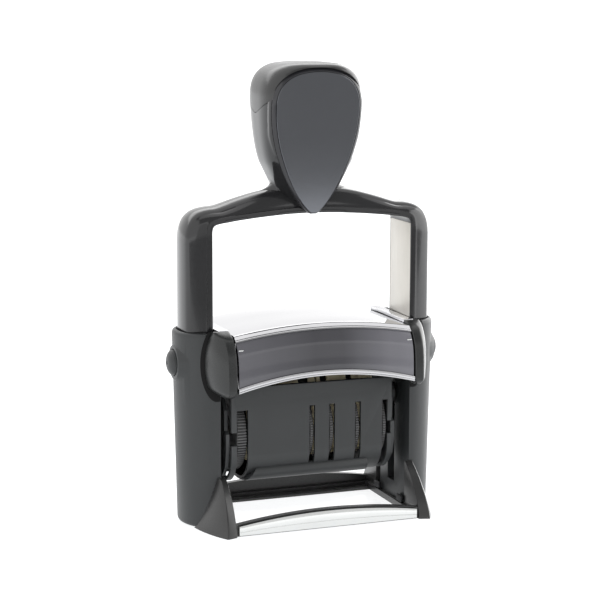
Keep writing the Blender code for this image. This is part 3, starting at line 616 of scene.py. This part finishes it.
def make_bridge_caps():
    top = edge("left_bridge_cap", 2, 1)
    foot = edge("left_bridge_cap", 2, 0)
    levels = [foot + (top - foot) * (0.5 - 0.5 * cos(pi * i / 40)) for i in range(41)]
    for side in SIDES:
        name = SIDES[side] + "_bridge_cap"
        body = loft(name, [cap_ring(side, -1, z) for z in levels])
        strip = box("strip", (side * 33.2, side * 36.4), (-14.6, 14.6), (68.0, top - 0.95))
        combine(body, [strip, loft("rear", [cap_ring(side, 1, z) for z in levels])], "UNION")
        place(body, "casing", FINISHES["bridge_cap"], "bridge_cap", name, crease=24)
        strip = box(SIDES[side] + "_bridge_strip", (side * 32.7, side * 36.3), (-13.2, 17.2),
                    (top - 0.93, top + 0.26))
        place(round_edges(strip, 0.16), "casing", FINISHES["bright_strip"], "chrome_trim")


def foot_z(x, way):
    """Height of the window side's lower edge, arched in front."""
    return FACE_FOOT_Z + FOOT_RISE * arch(x) if way < 0 else REAR_FOOT_Z


def rim_profile(low, high, outer, rise):
    """A rounded rim with a fine groove along it, from its low edge to its high edge."""
    share_out = [(0.0, -0.45), (0.02, -0.12), (0.12, 0.08), (0.30, 0.16), (0.50, 0.14), (0.60, 0.05),
                 (0.64, -0.06), (0.68, 0.04), (0.80, 0.10), (0.93, 0.02), (1.0, -0.22)]
    if outer < 0:
        share_out = [(1 - s, out) for s, out in reversed(share_out)]
    return [(face_y(low + (high - low) * s - rise) + out, low + (high - low) * s) for s, out in share_out]


def cover_section(x):
    """The bright sheet's section at x: both faces with their rims, and the top between them."""
    rise = TOP_RISE * arch(x)
    top = FACE_TOP_Z + rise
    back = WINDOW_SET_BACK + 0.5

    def face(z, depth=0.0):
        return face_y(z - rise, depth)

    outer, inner = {}, {}
    for way in ENDS:
        foot = foot_z(x, way)
        outer[way] = rim_profile(foot, foot + RIM, -1, rise)
        outer[way] += [(face(foot + RIM, back), foot + RIM + 0.02),
                       (face(top - TOP_RIM, back), top - TOP_RIM - 0.02)]
        outer[way] += rim_profile(top - TOP_RIM, top, 1, rise)[:-1]
        outer[way] += [(face(top) - back_by, top + up) for back_by, up in
                       ((0.20, 0.30), (0.50, 0.58), (0.95, 0.78), (1.6, 0.87))] + [(6.0, top + 0.9)]
        inner[way] = [(face(foot, back + 0.5), foot), (face(top - 0.2, back + 0.5), top - 0.2),
                      (face(top, back) - 0.6, top + 0.25)]
    ring = [(-y, z) for y, z in outer[-1]] + [(y, z) for y, z in reversed(outer[1])]
    ring += [(y, z) for y, z in inner[1]] + [(-y, z) for y, z in reversed(inner[-1])]
    return [(x, y, z) for y, z in ring]


def make_bridge_cover():
    body = loft("bridge_cover", [cover_section(x) for x in spread_between(-BRIDGE_X, BRIDGE_X, 56)])
    place(body, "casing", FINISHES["bridge_chrome"], "chrome_trim", "bridge_cover", crease=38)


def window_ring(x, way):
    rise = TOP_RISE * arch(x)
    levels = spread_between(foot_z(x, way) + RIM + 0.05, FACE_TOP_Z + rise - TOP_RIM - 0.05, 14)
    last = len(levels) - 1
    skin = [(face_y(z - rise, WINDOW_SET_BACK + (0.12 if i in (0, last) else 0.0)), z)
            for i, z in enumerate(levels)]
    behind = [(face_y(z - rise, WINDOW_SET_BACK + 0.45), z) for z in reversed(levels)]
    return [(x, way * y, z) for y, z in skin + behind]


def make_windows():
    """The tinted windows, and two small bright clips near the front one's upper corners."""
    half_x = BRIDGE_X - 0.25
    for way, end in ENDS.items():
        name = end + "_index_window"
        body = loft(name, [window_ring(x, way) for x in spread_between(-half_x, half_x, 56)])
        place(body, "casing", FINISHES["index_window"], "index_window", name)
    for side in SIDES:
        z = FACE_TOP_Z - 3.6
        y = -face_y(z, WINDOW_SET_BACK)
        clip = box(SIDES[side] + "_window_clip", (side * 30.2, side * 31.9), (y - 0.35, y + 0.2),
                   (z - 0.2, z + 0.25))
        place(round_edges(clip, 0.12), "casing", FINISHES["base_chrome"], "chrome_trim")


# ---------------------------------------------------------------- handle

def bow_path():
    """Inner and outer line of the right half of the handle, from the leg's foot to the middle."""
    inner = [(LEG_INNER_X, 97.0), (LEG_INNER_X, 100.8), (36.66, 102.9), (36.4, 104.2), (35.8, 104.95),
             (34.8, 105.35), (33.4, 105.6), (32.0, 105.8), (30.6, 105.95), (28.2, 106.3), (24.4, 106.7),
             (19.5, 107.15), (13.7, 107.55), (7.9, 107.85), (0.0, 108.0)]
    outer = [(LEG_OUTER_X, 97.0), (45.95, 100.8), (45.3, 104.2), (43.9, 107.1), (41.8, 109.1),
             (39.4, 110.2), (36.8, 110.75), (34.6, 110.95), (32.7, 111.25), (30.2, 111.95), (27.2, 112.9),
             (22.8, 114.15), (17.2, 115.5), (10.5, 116.5), (0.0, 116.8)]
    half = [9.4, 9.4, 9.35, 9.3, 9.25, 9.2, 9.1, 9.0, 8.9, 8.8, 8.6, 8.3, 7.9, 7.5, 7.3]
    rows = [(*a, *b, w) for a, b, w in zip(inner, outer, half)]
    legs = [(LEG_INNER_X, z, LEG_OUTER_X, z, LEG_HALF_Y) for z in (LEG_FOOT_Z, 60.0, 85.0, 93.0)]
    return legs + through(rows, 5)


def bow_ring(side, row):
    inner, outer = Vector(row[:2]), Vector(row[2:4])
    height = (outer - inner).length
    across = (outer - inner) / height
    return [(side * (inner.x + across.x * s), y, inner.y + across.y * s)
            for s, y in section_loop(height, row[4])]


def make_bow():
    path = bow_path()
    rings = [bow_ring(-1, row) for row in path] + [bow_ring(1, row) for row in reversed(path[:-1])]
    body = loft("handle_bow", rings)
    cuts = []
    for side in SIDES:
        cuts.append(box("rebate", (side * (LEG_INNER_X - 1), side * (LEG_INNER_X + 1.0)), (-9.0, 9.0),
                        (LEG_FOOT_Z - 1, 103.3)))
        pocket = circle((side * SPRING_X, 0), POCKET_R, 32)
        cuts.append(prism("pocket", pocket, 2, LEG_FOOT_Z - 1, POCKET_TOP_Z))
    combine(body, cuts, "DIFFERENCE")
    place(body, "handle", FINISHES["handle"], "handle", "handle_bow", crease=22)


def make_rails():
    for side in SIDES:
        name = SIDES[side] + "_steel_rail"
        rail = box(name, (side * (LEG_INNER_X + 0.05), side * (LEG_INNER_X + STEEL_T)),
                   (-STEEL_HALF_Y, STEEL_HALF_Y), (LEG_FOOT_Z + 1, STEEL_TOP_Z))
        place(round_edges(rail, 0.18), "handle", FINISHES["steel"], "steel", name)


# ---------------------------------------------------------------- knob

def plate_y(z, way, depth=0.0):
    lean = PLATE_LEAN[way]
    return PLATE_TIP_Y[way] + lean * (z - PLATE_TIP_Z) - depth * hypot(1, lean)


def plate_outline(inset, count=28):
    """The drop-shaped plate round from its tip, moved inwards, and less so near the tip."""
    low, high = PLATE_TIP_Z, PLATE_TOP_Z
    half = [(0.0, low), (1.0, low), (1.6, low + 0.25)]
    half += cubic(half[-1], (5.8, 110.7), (PLATE_HALF, 125.6), (PLATE_HALF, 145.0), count)
    half += cubic((PLATE_HALF, 145.0), (PLATE_HALF, 153.0), (11.4, high), (0.0, high), count)
    loop = half + [(-x, z) for x, z in reversed(half[1:-1])]
    moved = []
    for before, (x, z), after in zip(loop[-1:] + loop, loop, loop[1:] + loop[:1]):
        along = (after[0] - before[0], after[1] - before[1])
        step = inset * (0.4 + 0.6 * min(1.0, (z - low) / 16.0)) / hypot(*along)
        moved.append((x - along[1] * step, z + along[0] * step))
    return moved


def plate_half_width(z):
    outline = plate_outline(0.0)
    right = outline[:len(outline) // 2 + 1]
    for (x0, z0), (x1, z1) in zip(right[1:], right[2:]):
        if z0 <= z <= z1:
            return x0 + (x1 - x0) * (z - z0) / max(z1 - z0, 1e-6)
    return 1.6


def make_plates():
    """The two drop-shaped plates, each in a bevelled border with a fine step inside it; the border is painted
    dark as shade on the metal bevel.
    """
    plate = [(1.75, 0.0), (1.46, 0.0), (1.38, 0.05), (1.34, 0.18), (1.34, PLATE_T)]
    border = [(1.26, PLATE_T), (1.26, 0.26), (1.18, 0.12), (1.06, 0.10), (0.94, 0.16), (0.20, 0.82),
              (0.06, 0.98), (0.0, 1.10), (0.0, PLATE_T)]
    for way, end in ENDS.items():
        name = f"knob_{end}_plate"
        rings, around = ([[(x, way * plate_y(z, way, depth), z) for x, z in plate_outline(inset)]
                          for inset, depth in steps] for steps in (plate, border))
        place(loft(name, rings), "handle", FINISHES["knob_plate"], "knob_plate", name, crease=18)
        place(loft(name + "_border", around, closed=True), "handle", FINISHES["plate_border_painted_shade"], "knob_plate",
              crease=18)


KNOB = [  # height, half width, half depth
    (114.4, 20.4, 8.6), (115.3, 17.6, 8.4), (116.2, 15.2, 8.4), (117.2, 13.4, 8.6), (118.5, 12.6, 9.2),
    (121.5, 13.7, 10.0), (126.0, 15.8, 11.0), (132.0, 17.2, 11.9), (138.0, 17.9, 12.7),
    (144.0, 18.3, 13.3), (149.0, 18.35, 13.7), (152.5, 17.8, 13.8), (155.0, 16.7, 13.6),
    (157.0, 15.0, 13.2), (158.6, 12.4, 12.5), (159.5, 9.6, 10.8), (KNOB_TOP_Z, 5.5, 7.6)]
NECK_Z, FACET_TOP_Z = 119.1, 127.2
# below the neck: height, half width and distance forward of the crease that ends the facet
KEEL = [(107.9, 1.9, 6.9), (110.8, 5.0, 6.2), (113.9, 8.9, 4.6), (116.6, 11.1, 4.0), (NECK_Z, 12.5, 3.4)]
POWER = 3.4


def side_x(y, half_x, half_y):
    return half_x * max(0.0, 1 - (abs(y) / half_y) ** POWER) ** (1 / POWER)


def body_quarter(z, way):
    """The lower knob's section from the middle of one face to the middle of its side."""
    half_x, half_y = between(KNOB, z)
    half_y *= KNOB_FULLNESS[way]
    flat = plate_y(z, way, PLATE_T + 0.1)
    front_x = plate_half_width(z) + 0.1
    half_y = max(half_y, flat + 1.2)
    if z <= NECK_Z:
        crease = between(KEEL, z)
    else:
        rise = min(1.0, (z - NECK_Z) / (FACET_TOP_Z - NECK_Z))
        crease_y = 3.4 + (flat - 0.5 - 3.4) * rise ** 0.9
        crease_y -= 1.9 * max(0.0, min(1.0, (z - FACET_TOP_Z) / 8.0))
        crease = (side_x(crease_y, half_x, half_y), crease_y)
    points = [(front_x * i / 5, flat) for i in range(6)]
    bulge = 0.5 * max(0.0, min(1.0, (z - FACET_TOP_Z) / 8.0))
    points += bowed((front_x, flat), crease, bulge, bulge, 6)
    for i in range(1, 13):
        y = crease[1] * (1 - i / 12)
        if z > NECK_Z:
            x = side_x(y, half_x, half_y)
        else:
            x = crease[0] + (half_x - crease[0]) * (1 - (y / crease[1]) ** 1.5)
        points.append((x, y))
    return [(x, way * y) for x, y in points]


def mirrored_ring(front, rear, z):
    """Joins a front and a rear quarter, and their mirror images, into one ring."""
    right = front + list(reversed(rear))[1:]
    left = [(-x, y) for x, y in reversed(right[1:-1])]
    return [(x, y, z) for x, y in right + left]


def cap_quarter(z, way):
    half_x, half_y = between(KNOB, z)
    flat = plate_y(z, way, -0.12)
    points = []
    for i in range(20):
        t = pi / 2 * (1 - i / 19)
        x = half_x * abs(cos(t)) ** (2 / POWER)
        y = half_y * 1.04 * KNOB_FULLNESS[way] * abs(sin(t)) ** (2 / POWER)
        points.append((x, way * min(flat, y)))
    return points


def parting_tool(above, gap):
    """All that is above, or below, the line where knob and cap meet, less the gap between them."""
    line = [(y, PART_LINE_Z + PART_LINE_RISE * (hypot(y, 1.6) - 1.6) / 9.0 + (gap if above else -gap))
            for y in spread_between(-20, 20, 40)]
    far = 190.0 if above else 90.0
    return prism("parting", line + [(20, far), (-20, far)], 0, -30, 30)


def make_knob():
    """The lower knob and its cap, each cut at the slanting line where they meet."""
    levels = spread_between(KNOB_FOOT_Z, BODY_TOP_Z, 91)
    body = loft("knob_body", [mirrored_ring(body_quarter(z, -1), body_quarter(z, 1), z) for z in levels])
    combine(body, [parting_tool(False, 0.08)], "INTERSECT")
    place(body, "handle", FINISHES["handle"], "handle", "knob_body", crease=24)

    levels = spread_between(CAP_FOOT_Z, CAP_ROUND_Z, 14)[:-1]
    levels += [CAP_ROUND_Z + (KNOB_TOP_Z - CAP_ROUND_Z) * sin(pi / 2 * i / 22) for i in range(23)]
    cap = loft("knob_cap", [mirrored_ring(cap_quarter(z, -1), cap_quarter(z, 1), z) for z in levels])
    combine(cap, [parting_tool(True, 0.08)], "INTERSECT")
    seats = [loft("seat", [[(x, way * plate_y(z, way, depth), z) for x, z in plate_outline(-0.22)]
                           for depth in (-3.0, PLATE_T + 0.1)]) for way in (-1, 1)]
    combine(cap, seats, "DIFFERENCE")
    place(cap, "handle", FINISHES["knob_cap"], "knob_cap", "knob_cap", crease=30)


# ---------------------------------------------------------------- springs and lock buttons

def make_springs():
    up = Vector((0, 0, 1))
    for side in SIDES:
        name = SIDES[side] + "_return_spring"
        low, high = edge(name, 2, 0), edge(name, 2, 1)
        turns, steps, sides, radius, wire = 16, 20, 8, 2.6, 0.42
        rings = []
        for i in range(turns * steps + 1):
            t = tau * i / steps
            share = i / (turns * steps)
            out = Vector((cos(t), sin(t), 0))
            mid = Vector((side * SPRING_X, 0, low + wire + (high - low - 2 * wire) * share)) + out * radius
            rings.append([mid + wire * (out * cos(tau * k / sides) + up * sin(tau * k / sides))
                          for k in range(sides)])
        spring = place(loft(name, rings), "casing", FINISHES["steel"], "steel", name, crease=60)
        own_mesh(spring)


def make_lock_buttons():
    """Domed buttons with a ring line round the dome and a dimple in the middle."""
    for side in SIDES:
        name = SIDES[side] + "_lock_button"
        profile = [(-3.2, 2.2), (-2.4, 2.2), (-2.4, 4.55), (-2.1, 4.58), (-1.9, 4.5), (-1.84, 4.38),
                   (-1.7, 4.36), (-1.45, 4.2), (-1.1, 3.85), (-0.75, 3.35), (-0.4, 2.6), (-0.15, 1.7),
                   (-0.04, 1.0), (-0.1, 0.75), (-0.3, 0.55), (-0.36, 0.25)]
        rings = [[(side * (LOCK_TIP_X + x), y, z) for y, z in circle((0, LOCK_Z), r, 56)] for x, r in profile]
        place(loft(name, rings), SIDES[side] + "_lock", FINISHES["casing"], "casing", name, crease=30)


# ---------------------------------------------------------------- carriage

def cover_outline():
    """The drum's section: an open shell with rounded lower corners."""
    low, high = COVER_Z
    half, corner, wall = COVER_HALF_Y, 11.0, 1.2

    def half_line(inset, start):
        radius = corner - inset
        line = start + [(-half + inset + radius * (1 - cos(t)), low + inset + radius * (1 - sin(t)))
                        for t in spread_between(0.0, pi / 2, 20)]
        return line + [(-y, z) for y, z in reversed(line)]

    outer = half_line(0.0, [(-half + 0.35, high), (-half + 0.1, high - 0.1), (-half, high - 0.35)])
    return outer + list(reversed(half_line(wall, [(-half + wall, high)])))


def make_ridge():
    """The raised bar along the drum's lower front edge, with slanted ends."""
    section = [(-12.9, 20.85), (-13.55, 20.35), (-13.95, 19.7), (-14.05, 18.9), (-13.9, 18.1), (-13.5, 17.35),
               (-12.7, 16.5), (-11.9, 16.0), (-10.8, 15.6), (-9.2, 15.3), (-7.2, 14.9), (-7.5, 15.9),
               (-9.3, 16.9), (-11.2, 18.5), (-12.6, 20.4)]
    inner = (-10.6, 18.4)
    rings = []
    for x, share in ((-24.3, 0.72), (-24.05, 0.95), (-23.6, 1.0), (18.3, 1.0), (18.95, 0.96),
                     (19.25, 0.86), (19.35, 0.7)):
        slant = 0.62 if x < 0 else -0.12
        rings.append([(x + slant * (z - 18.2), inner[0] + (y - inner[0]) * share,
                       inner[1] + (z - inner[1]) * share) for y, z in section])
    return loft("ridge", rings)


def make_carriage_cover():
    body = prism("carriage_cover", cover_outline(), 0, *COVER_X)
    cuts = []
    for dial in DIALS:
        flange = sorted(dial_x(dial)[:2])
        cuts.append(box("slot", (flange[0] - 0.35, flange[1] + 0.35), (-20.0, 5.6), (10.0, 41.4)))
    for x in ((-40.0, -28.0), (25.0, 40.0)):
        cuts.append(box("notch", x, (-20.0, -10.0), (29.0, 33.7)))
    combine(body, cuts, "DIFFERENCE")
    combine(body, [make_ridge()], "UNION")
    place(body, "carriage", FINISHES["carriage"], "carriage", "carriage_cover", crease=26)


# name: (flange thickness, side the flange is on, teeth, tooth depth, radius)
DIALS = {
    "phrase": (3.4, -1, 84, 0.7, 13.7),
    "day_tens": (1.4, -1, 96, 0.45, 13.6),
    "day_units": (1.5, 1, 96, 0.45, 13.6),
    "month": (1.5, 1, 96, 0.45, 13.6),
    "year": (1.4, 1, 96, 0.45, 13.6),
}


def dial_x(dial):
    """The outer and inner face of a dial's flange, and the far end of its hub."""
    thickness, flange_side = DIALS[dial][:2]
    low, high = (edge(dial + "_wheel", 0, end) for end in (0, 1))
    return (low, low + thickness, high) if flange_side < 0 else (high, high - thickness, low)


def make_dial(dial):
    """A knurled flange and a smooth hub, bored for the shaft."""
    thickness, _, teeth, depth, radius = DIALS[dial]
    name = dial + "_wheel"
    outer_x, inner_x, hub_x = dial_x(dial)
    steps = 4 * teeth
    profile = (0.0, 0.0, 1.0, 1.0)

    def ring(x, r, cut=0.0):
        return [(x, *polar(SHAFT, r - cut * profile[i % 4], tau * (i + 0.3) / steps))
                for i in range(steps)]

    inward = (inner_x - outer_x) / thickness
    rings = [ring(outer_x, 2.3), ring(outer_x, radius - 1.6), ring(outer_x, radius - 0.35, depth * 0.6),
             ring(outer_x + inward * 0.25, radius, depth), ring(inner_x - inward * 0.25, radius, depth),
             ring(inner_x, radius - 0.35, depth * 0.6), ring(inner_x, HUB_R), ring(hub_x, HUB_R),
             ring(hub_x, 2.3)]
    place(loft(name, rings, closed=True), dial + "_dial", FINISHES["wheel"], "wheel", name, crease=30)


def band_point(angle, grow):
    """The point of the belt that faces the given way, tight round the hub and the bar's two corners."""
    out = (cos(angle), sin(angle))
    rounds = [(SHAFT, HUB_R + 0.3), *((corner, BAR_CORNER_R) for corner in BAR_CORNERS)]
    mid, radius = max(rounds, key=lambda r: r[0][0] * out[0] + r[0][1] * out[1] + r[1])
    return polar(mid, radius + grow, angle)


def band_line(samples=720):
    """The belt's inner line: at(distance) gives a point and its outward angle. Also its length and top."""
    raw = [(band_point(tau * i / samples, 0.0), tau * i / samples) for i in range(samples)]
    lengths = [0.0]
    for (p, _), (q, _) in zip(raw, raw[1:] + raw[:1]):
        lengths.append(lengths[-1] + dist(p, q))

    def at(distance):
        distance %= lengths[-1]
        low = max(k for k in range(samples) if lengths[k] <= distance)
        (p, a), (q, b) = raw[low], raw[(low + 1) % samples]
        part = lengths[low + 1] - lengths[low]
        t = (distance - lengths[low]) / part if part else 0.0
        angle = a + ((b - a) % (tau)) * t
        return Vector((0, p[0] + (q[0] - p[0]) * t, p[1] + (q[1] - p[1]) * t)), angle

    return at, lengths[-1], lengths[samples // 4]


def raised_figures(text, width, height):
    """Raised mirrored figures, centred, of the given size, as a mesh."""
    curve = bpy.data.curves.new("figures", "FONT")
    curve.body = text
    curve.align_x, curve.align_y = "CENTER", "CENTER"
    curve.size = 1.0
    curve.extrude = 0.5
    curve.resolution_u = 3
    shape = bpy.data.objects.new("figures", curve)
    bpy.context.scene.collection.objects.link(shape)
    bpy.context.view_layer.update()
    mesh = bpy.data.meshes.new_from_object(shape.evaluated_get(bpy.context.evaluated_depsgraph_get()))
    bpy.data.objects.remove(shape, do_unlink=True)
    xs = [v.co.x for v in mesh.vertices]
    ys = [v.co.y for v in mesh.vertices]
    scale = Matrix.Diagonal((-width / (max(xs) - min(xs)), height / (max(ys) - min(ys)), 1.0, 1.0))
    middle = Matrix.Translation((-(max(xs) + min(xs)) / 2, -(max(ys) + min(ys)) / 2, 0))
    mesh.transform(scale @ middle)
    mesh.flip_normals()
    return mesh


BAND_FIGURES = {
    "phrase": [str(1000 + 111 * i) + " " + str(9 - i % 9) for i in range(BAND_CELLS)],
    "day_tens": [str(i % 4) for i in range(BAND_CELLS)],
    "day_units": [str(i % 10) for i in range(BAND_CELLS)],
    "month": [f"{i % 12 + 1:02d}" for i in range(BAND_CELLS)],
    "year": [str(24 + i) for i in range(BAND_CELLS)],
}


def make_band(dial):
    """A belt over the hub and the printing bar, with raised figures on it."""
    name = dial + "_band"
    x0, x1 = edge(name, 0, 0), edge(name, 0, 1)
    at, total, start = band_line()
    count = 16 * BAND_CELLS
    loops = {grow: [] for grow in (0.0, BAND_T)}
    for i in range(count):
        point, angle = at(start + total * i / count)
        for grow, line in loops.items():
            line.append(polar((point.y, point.z), grow, angle))
    rings = [[(x, y, z) for y, z in loops[grow]]
             for x, grow in ((x0, 0.0), (x0, BAND_T), (x1, BAND_T), (x1, 0.0))]
    belt = loft(name, rings, closed=True)
    mesh = bmesh.new()
    mesh.from_mesh(belt.data)
    bpy.data.objects.remove(belt, do_unlink=True)
    for cell in range(BAND_CELLS):
        point, angle = at(start + total * cell / BAND_CELLS)
        figures = raised_figures(BAND_FIGURES[dial][cell], (x1 - x0) * 0.84, 3.6)
        out = Vector((0, cos(angle), sin(angle)))
        along = Vector((0, -sin(angle), cos(angle)))
        frame_axes = Matrix((
            (1, 0, 0, (x0 + x1) / 2),
            (0, along.y, out.y, point.y + out.y * (BAND_T + TYPE_H - 0.5)),
            (0, along.z, out.z, point.z + out.z * (BAND_T + TYPE_H - 0.5)),
            (0, 0, 0, 1)))
        figures.transform(Matrix.Scale(MM, 4) @ frame_axes)
        mesh.from_mesh(figures)
    place(to_object(name, mesh), "carriage", FINISHES["type_band"], "type_band", name, crease=30)


def refinish_cad_nodes():
    """Pieces whose CAD shape is right keep it, and get their finish here."""
    kept = {"bridge_frame": "casing", "ink_cartridge": "casing", "ink_pad": "ink_pad",
            "left_axle": "steel", "right_axle": "steel", "left_end_plate": "carriage",
            "right_end_plate": "carriage", "wheel_shaft": "steel", "printing_bar": "carriage"}
    for node, slot in kept.items():
        piece = frame["nodes"][node]
        piece.data.materials.clear()
        piece.data.materials.append(FINISHES[slot])


# ---------------------------------------------------------------- stage, light and camera

def glowing_plane(name, half_size, glow, inputs):
    mesh = bmesh.new()
    bmesh.ops.create_grid(mesh, x_segments=1, y_segments=1, size=half_size)
    plane = to_object(name, mesh)
    paint = bpy.data.materials.new(name + "_paint")
    paint.use_nodes = True
    shader = paint.node_tree.nodes["Principled BSDF"]
    shader.inputs["Emission Color"].default_value = (1, 1, 1, 1)
    shader.inputs["Emission Strength"].default_value = glow
    for key, value in inputs.items():
        shader.inputs[key].default_value = value
    plane.data.materials.append(paint)
    return plane


def make_stage():
    floor = glowing_plane("floor", 60.0, 0.78, {"Base Color": (0.40, 0.42, 0.44, 1), "Roughness": 0.16})


def make_card(name, middle, size, turn, radiance):
    """A studio card of even brightness that only shows in reflections."""
    card = glowing_plane(name, 0.5, radiance, {"Base Color": (0, 0, 0, 1), "Specular IOR Level": 0.0})
    card.scale = (size[0], size[1], 1)
    card.location = middle
    card.rotation_euler = [radians(a) for a in turn]
    card.visible_camera = card.visible_shadow = card.visible_diffuse = False


CARDS = [  # name, middle and size in metres, turn in degrees, radiance
    ("front_card", (0.10, -1.15, 0.26), (1.6, 0.52), (90, 0, 0), 0.9),
    ("front_top_card", (0.05, -0.62, 0.85), (1.4, 0.75), (50, 0, 0), 0.42),
    ("floor_card", (0.10, -0.745, 0.003), (1.6, 0.80), (0, 0, 0), 0.43),
    ("right_card", (0.763, 0.477, 0.30), (1.05, 1.1), (90, 0, 122), 3.8),
    ("side_card", (0.851, -0.293, 0.30), (0.62, 1.1), (90, 0, 71), 3.0),
    ("back_card", (-0.10, 0.90, 0.80), (1.8, 0.8), (55, 0, 0), 2.9),
]


def make_light():
    world = bpy.data.worlds.new("studio")
    world.use_nodes = True
    sky = world.node_tree.nodes["Background"]
    sky.inputs["Color"].default_value = (1.0, 1.0, 1.0, 1)
    sky.inputs["Strength"].default_value = 1.3
    bpy.context.scene.world = world
    bpy.context.scene.view_settings.view_transform = "Standard"
    for card in CARDS:
        make_card(*card)


# the camera fitted to the photograph
CAMERA_PLACE, CAMERA_TURN, LENS_MM = (-0.22589, -0.59681, 0.181637), (20.6, 9.38, 0.17), 109.788


def make_camera():
    yaw, pitch, roll = (radians(a) for a in CAMERA_TURN)
    ahead = Vector((sin(yaw) * cos(pitch), cos(yaw) * cos(pitch), -sin(pitch)))
    right = Vector((cos(yaw), -sin(yaw), 0))
    up = right.cross(ahead)
    across = right * cos(roll) + up * sin(roll)
    upright = up * cos(roll) - right * sin(roll)
    lens = bpy.data.cameras.new("camera")
    lens.lens, lens.sensor_width, lens.clip_start = LENS_MM, 36.0, 0.01
    camera = bpy.data.objects.new("camera", lens)
    turn = Matrix((across, upright, -ahead)).transposed().to_4x4()
    camera.matrix_world = Matrix.Translation(CAMERA_PLACE) @ turn
    bpy.context.scene.collection.objects.link(camera)
    bpy.context.scene.camera = camera


make_camera()
for side in SIDES:
    make_column(side)
make_base()
make_base_trims()
make_dampers()
make_bridge_caps()
make_cap_groove_shades()
make_bridge_cover()
make_windows()
make_bow()
make_rails()
make_plates()
make_knob()
make_springs()
make_lock_buttons()
make_carriage_cover()
for dial in DIALS:
    make_dial(dial)
    make_band(dial)
refinish_cad_nodes()
make_stage()
make_light()
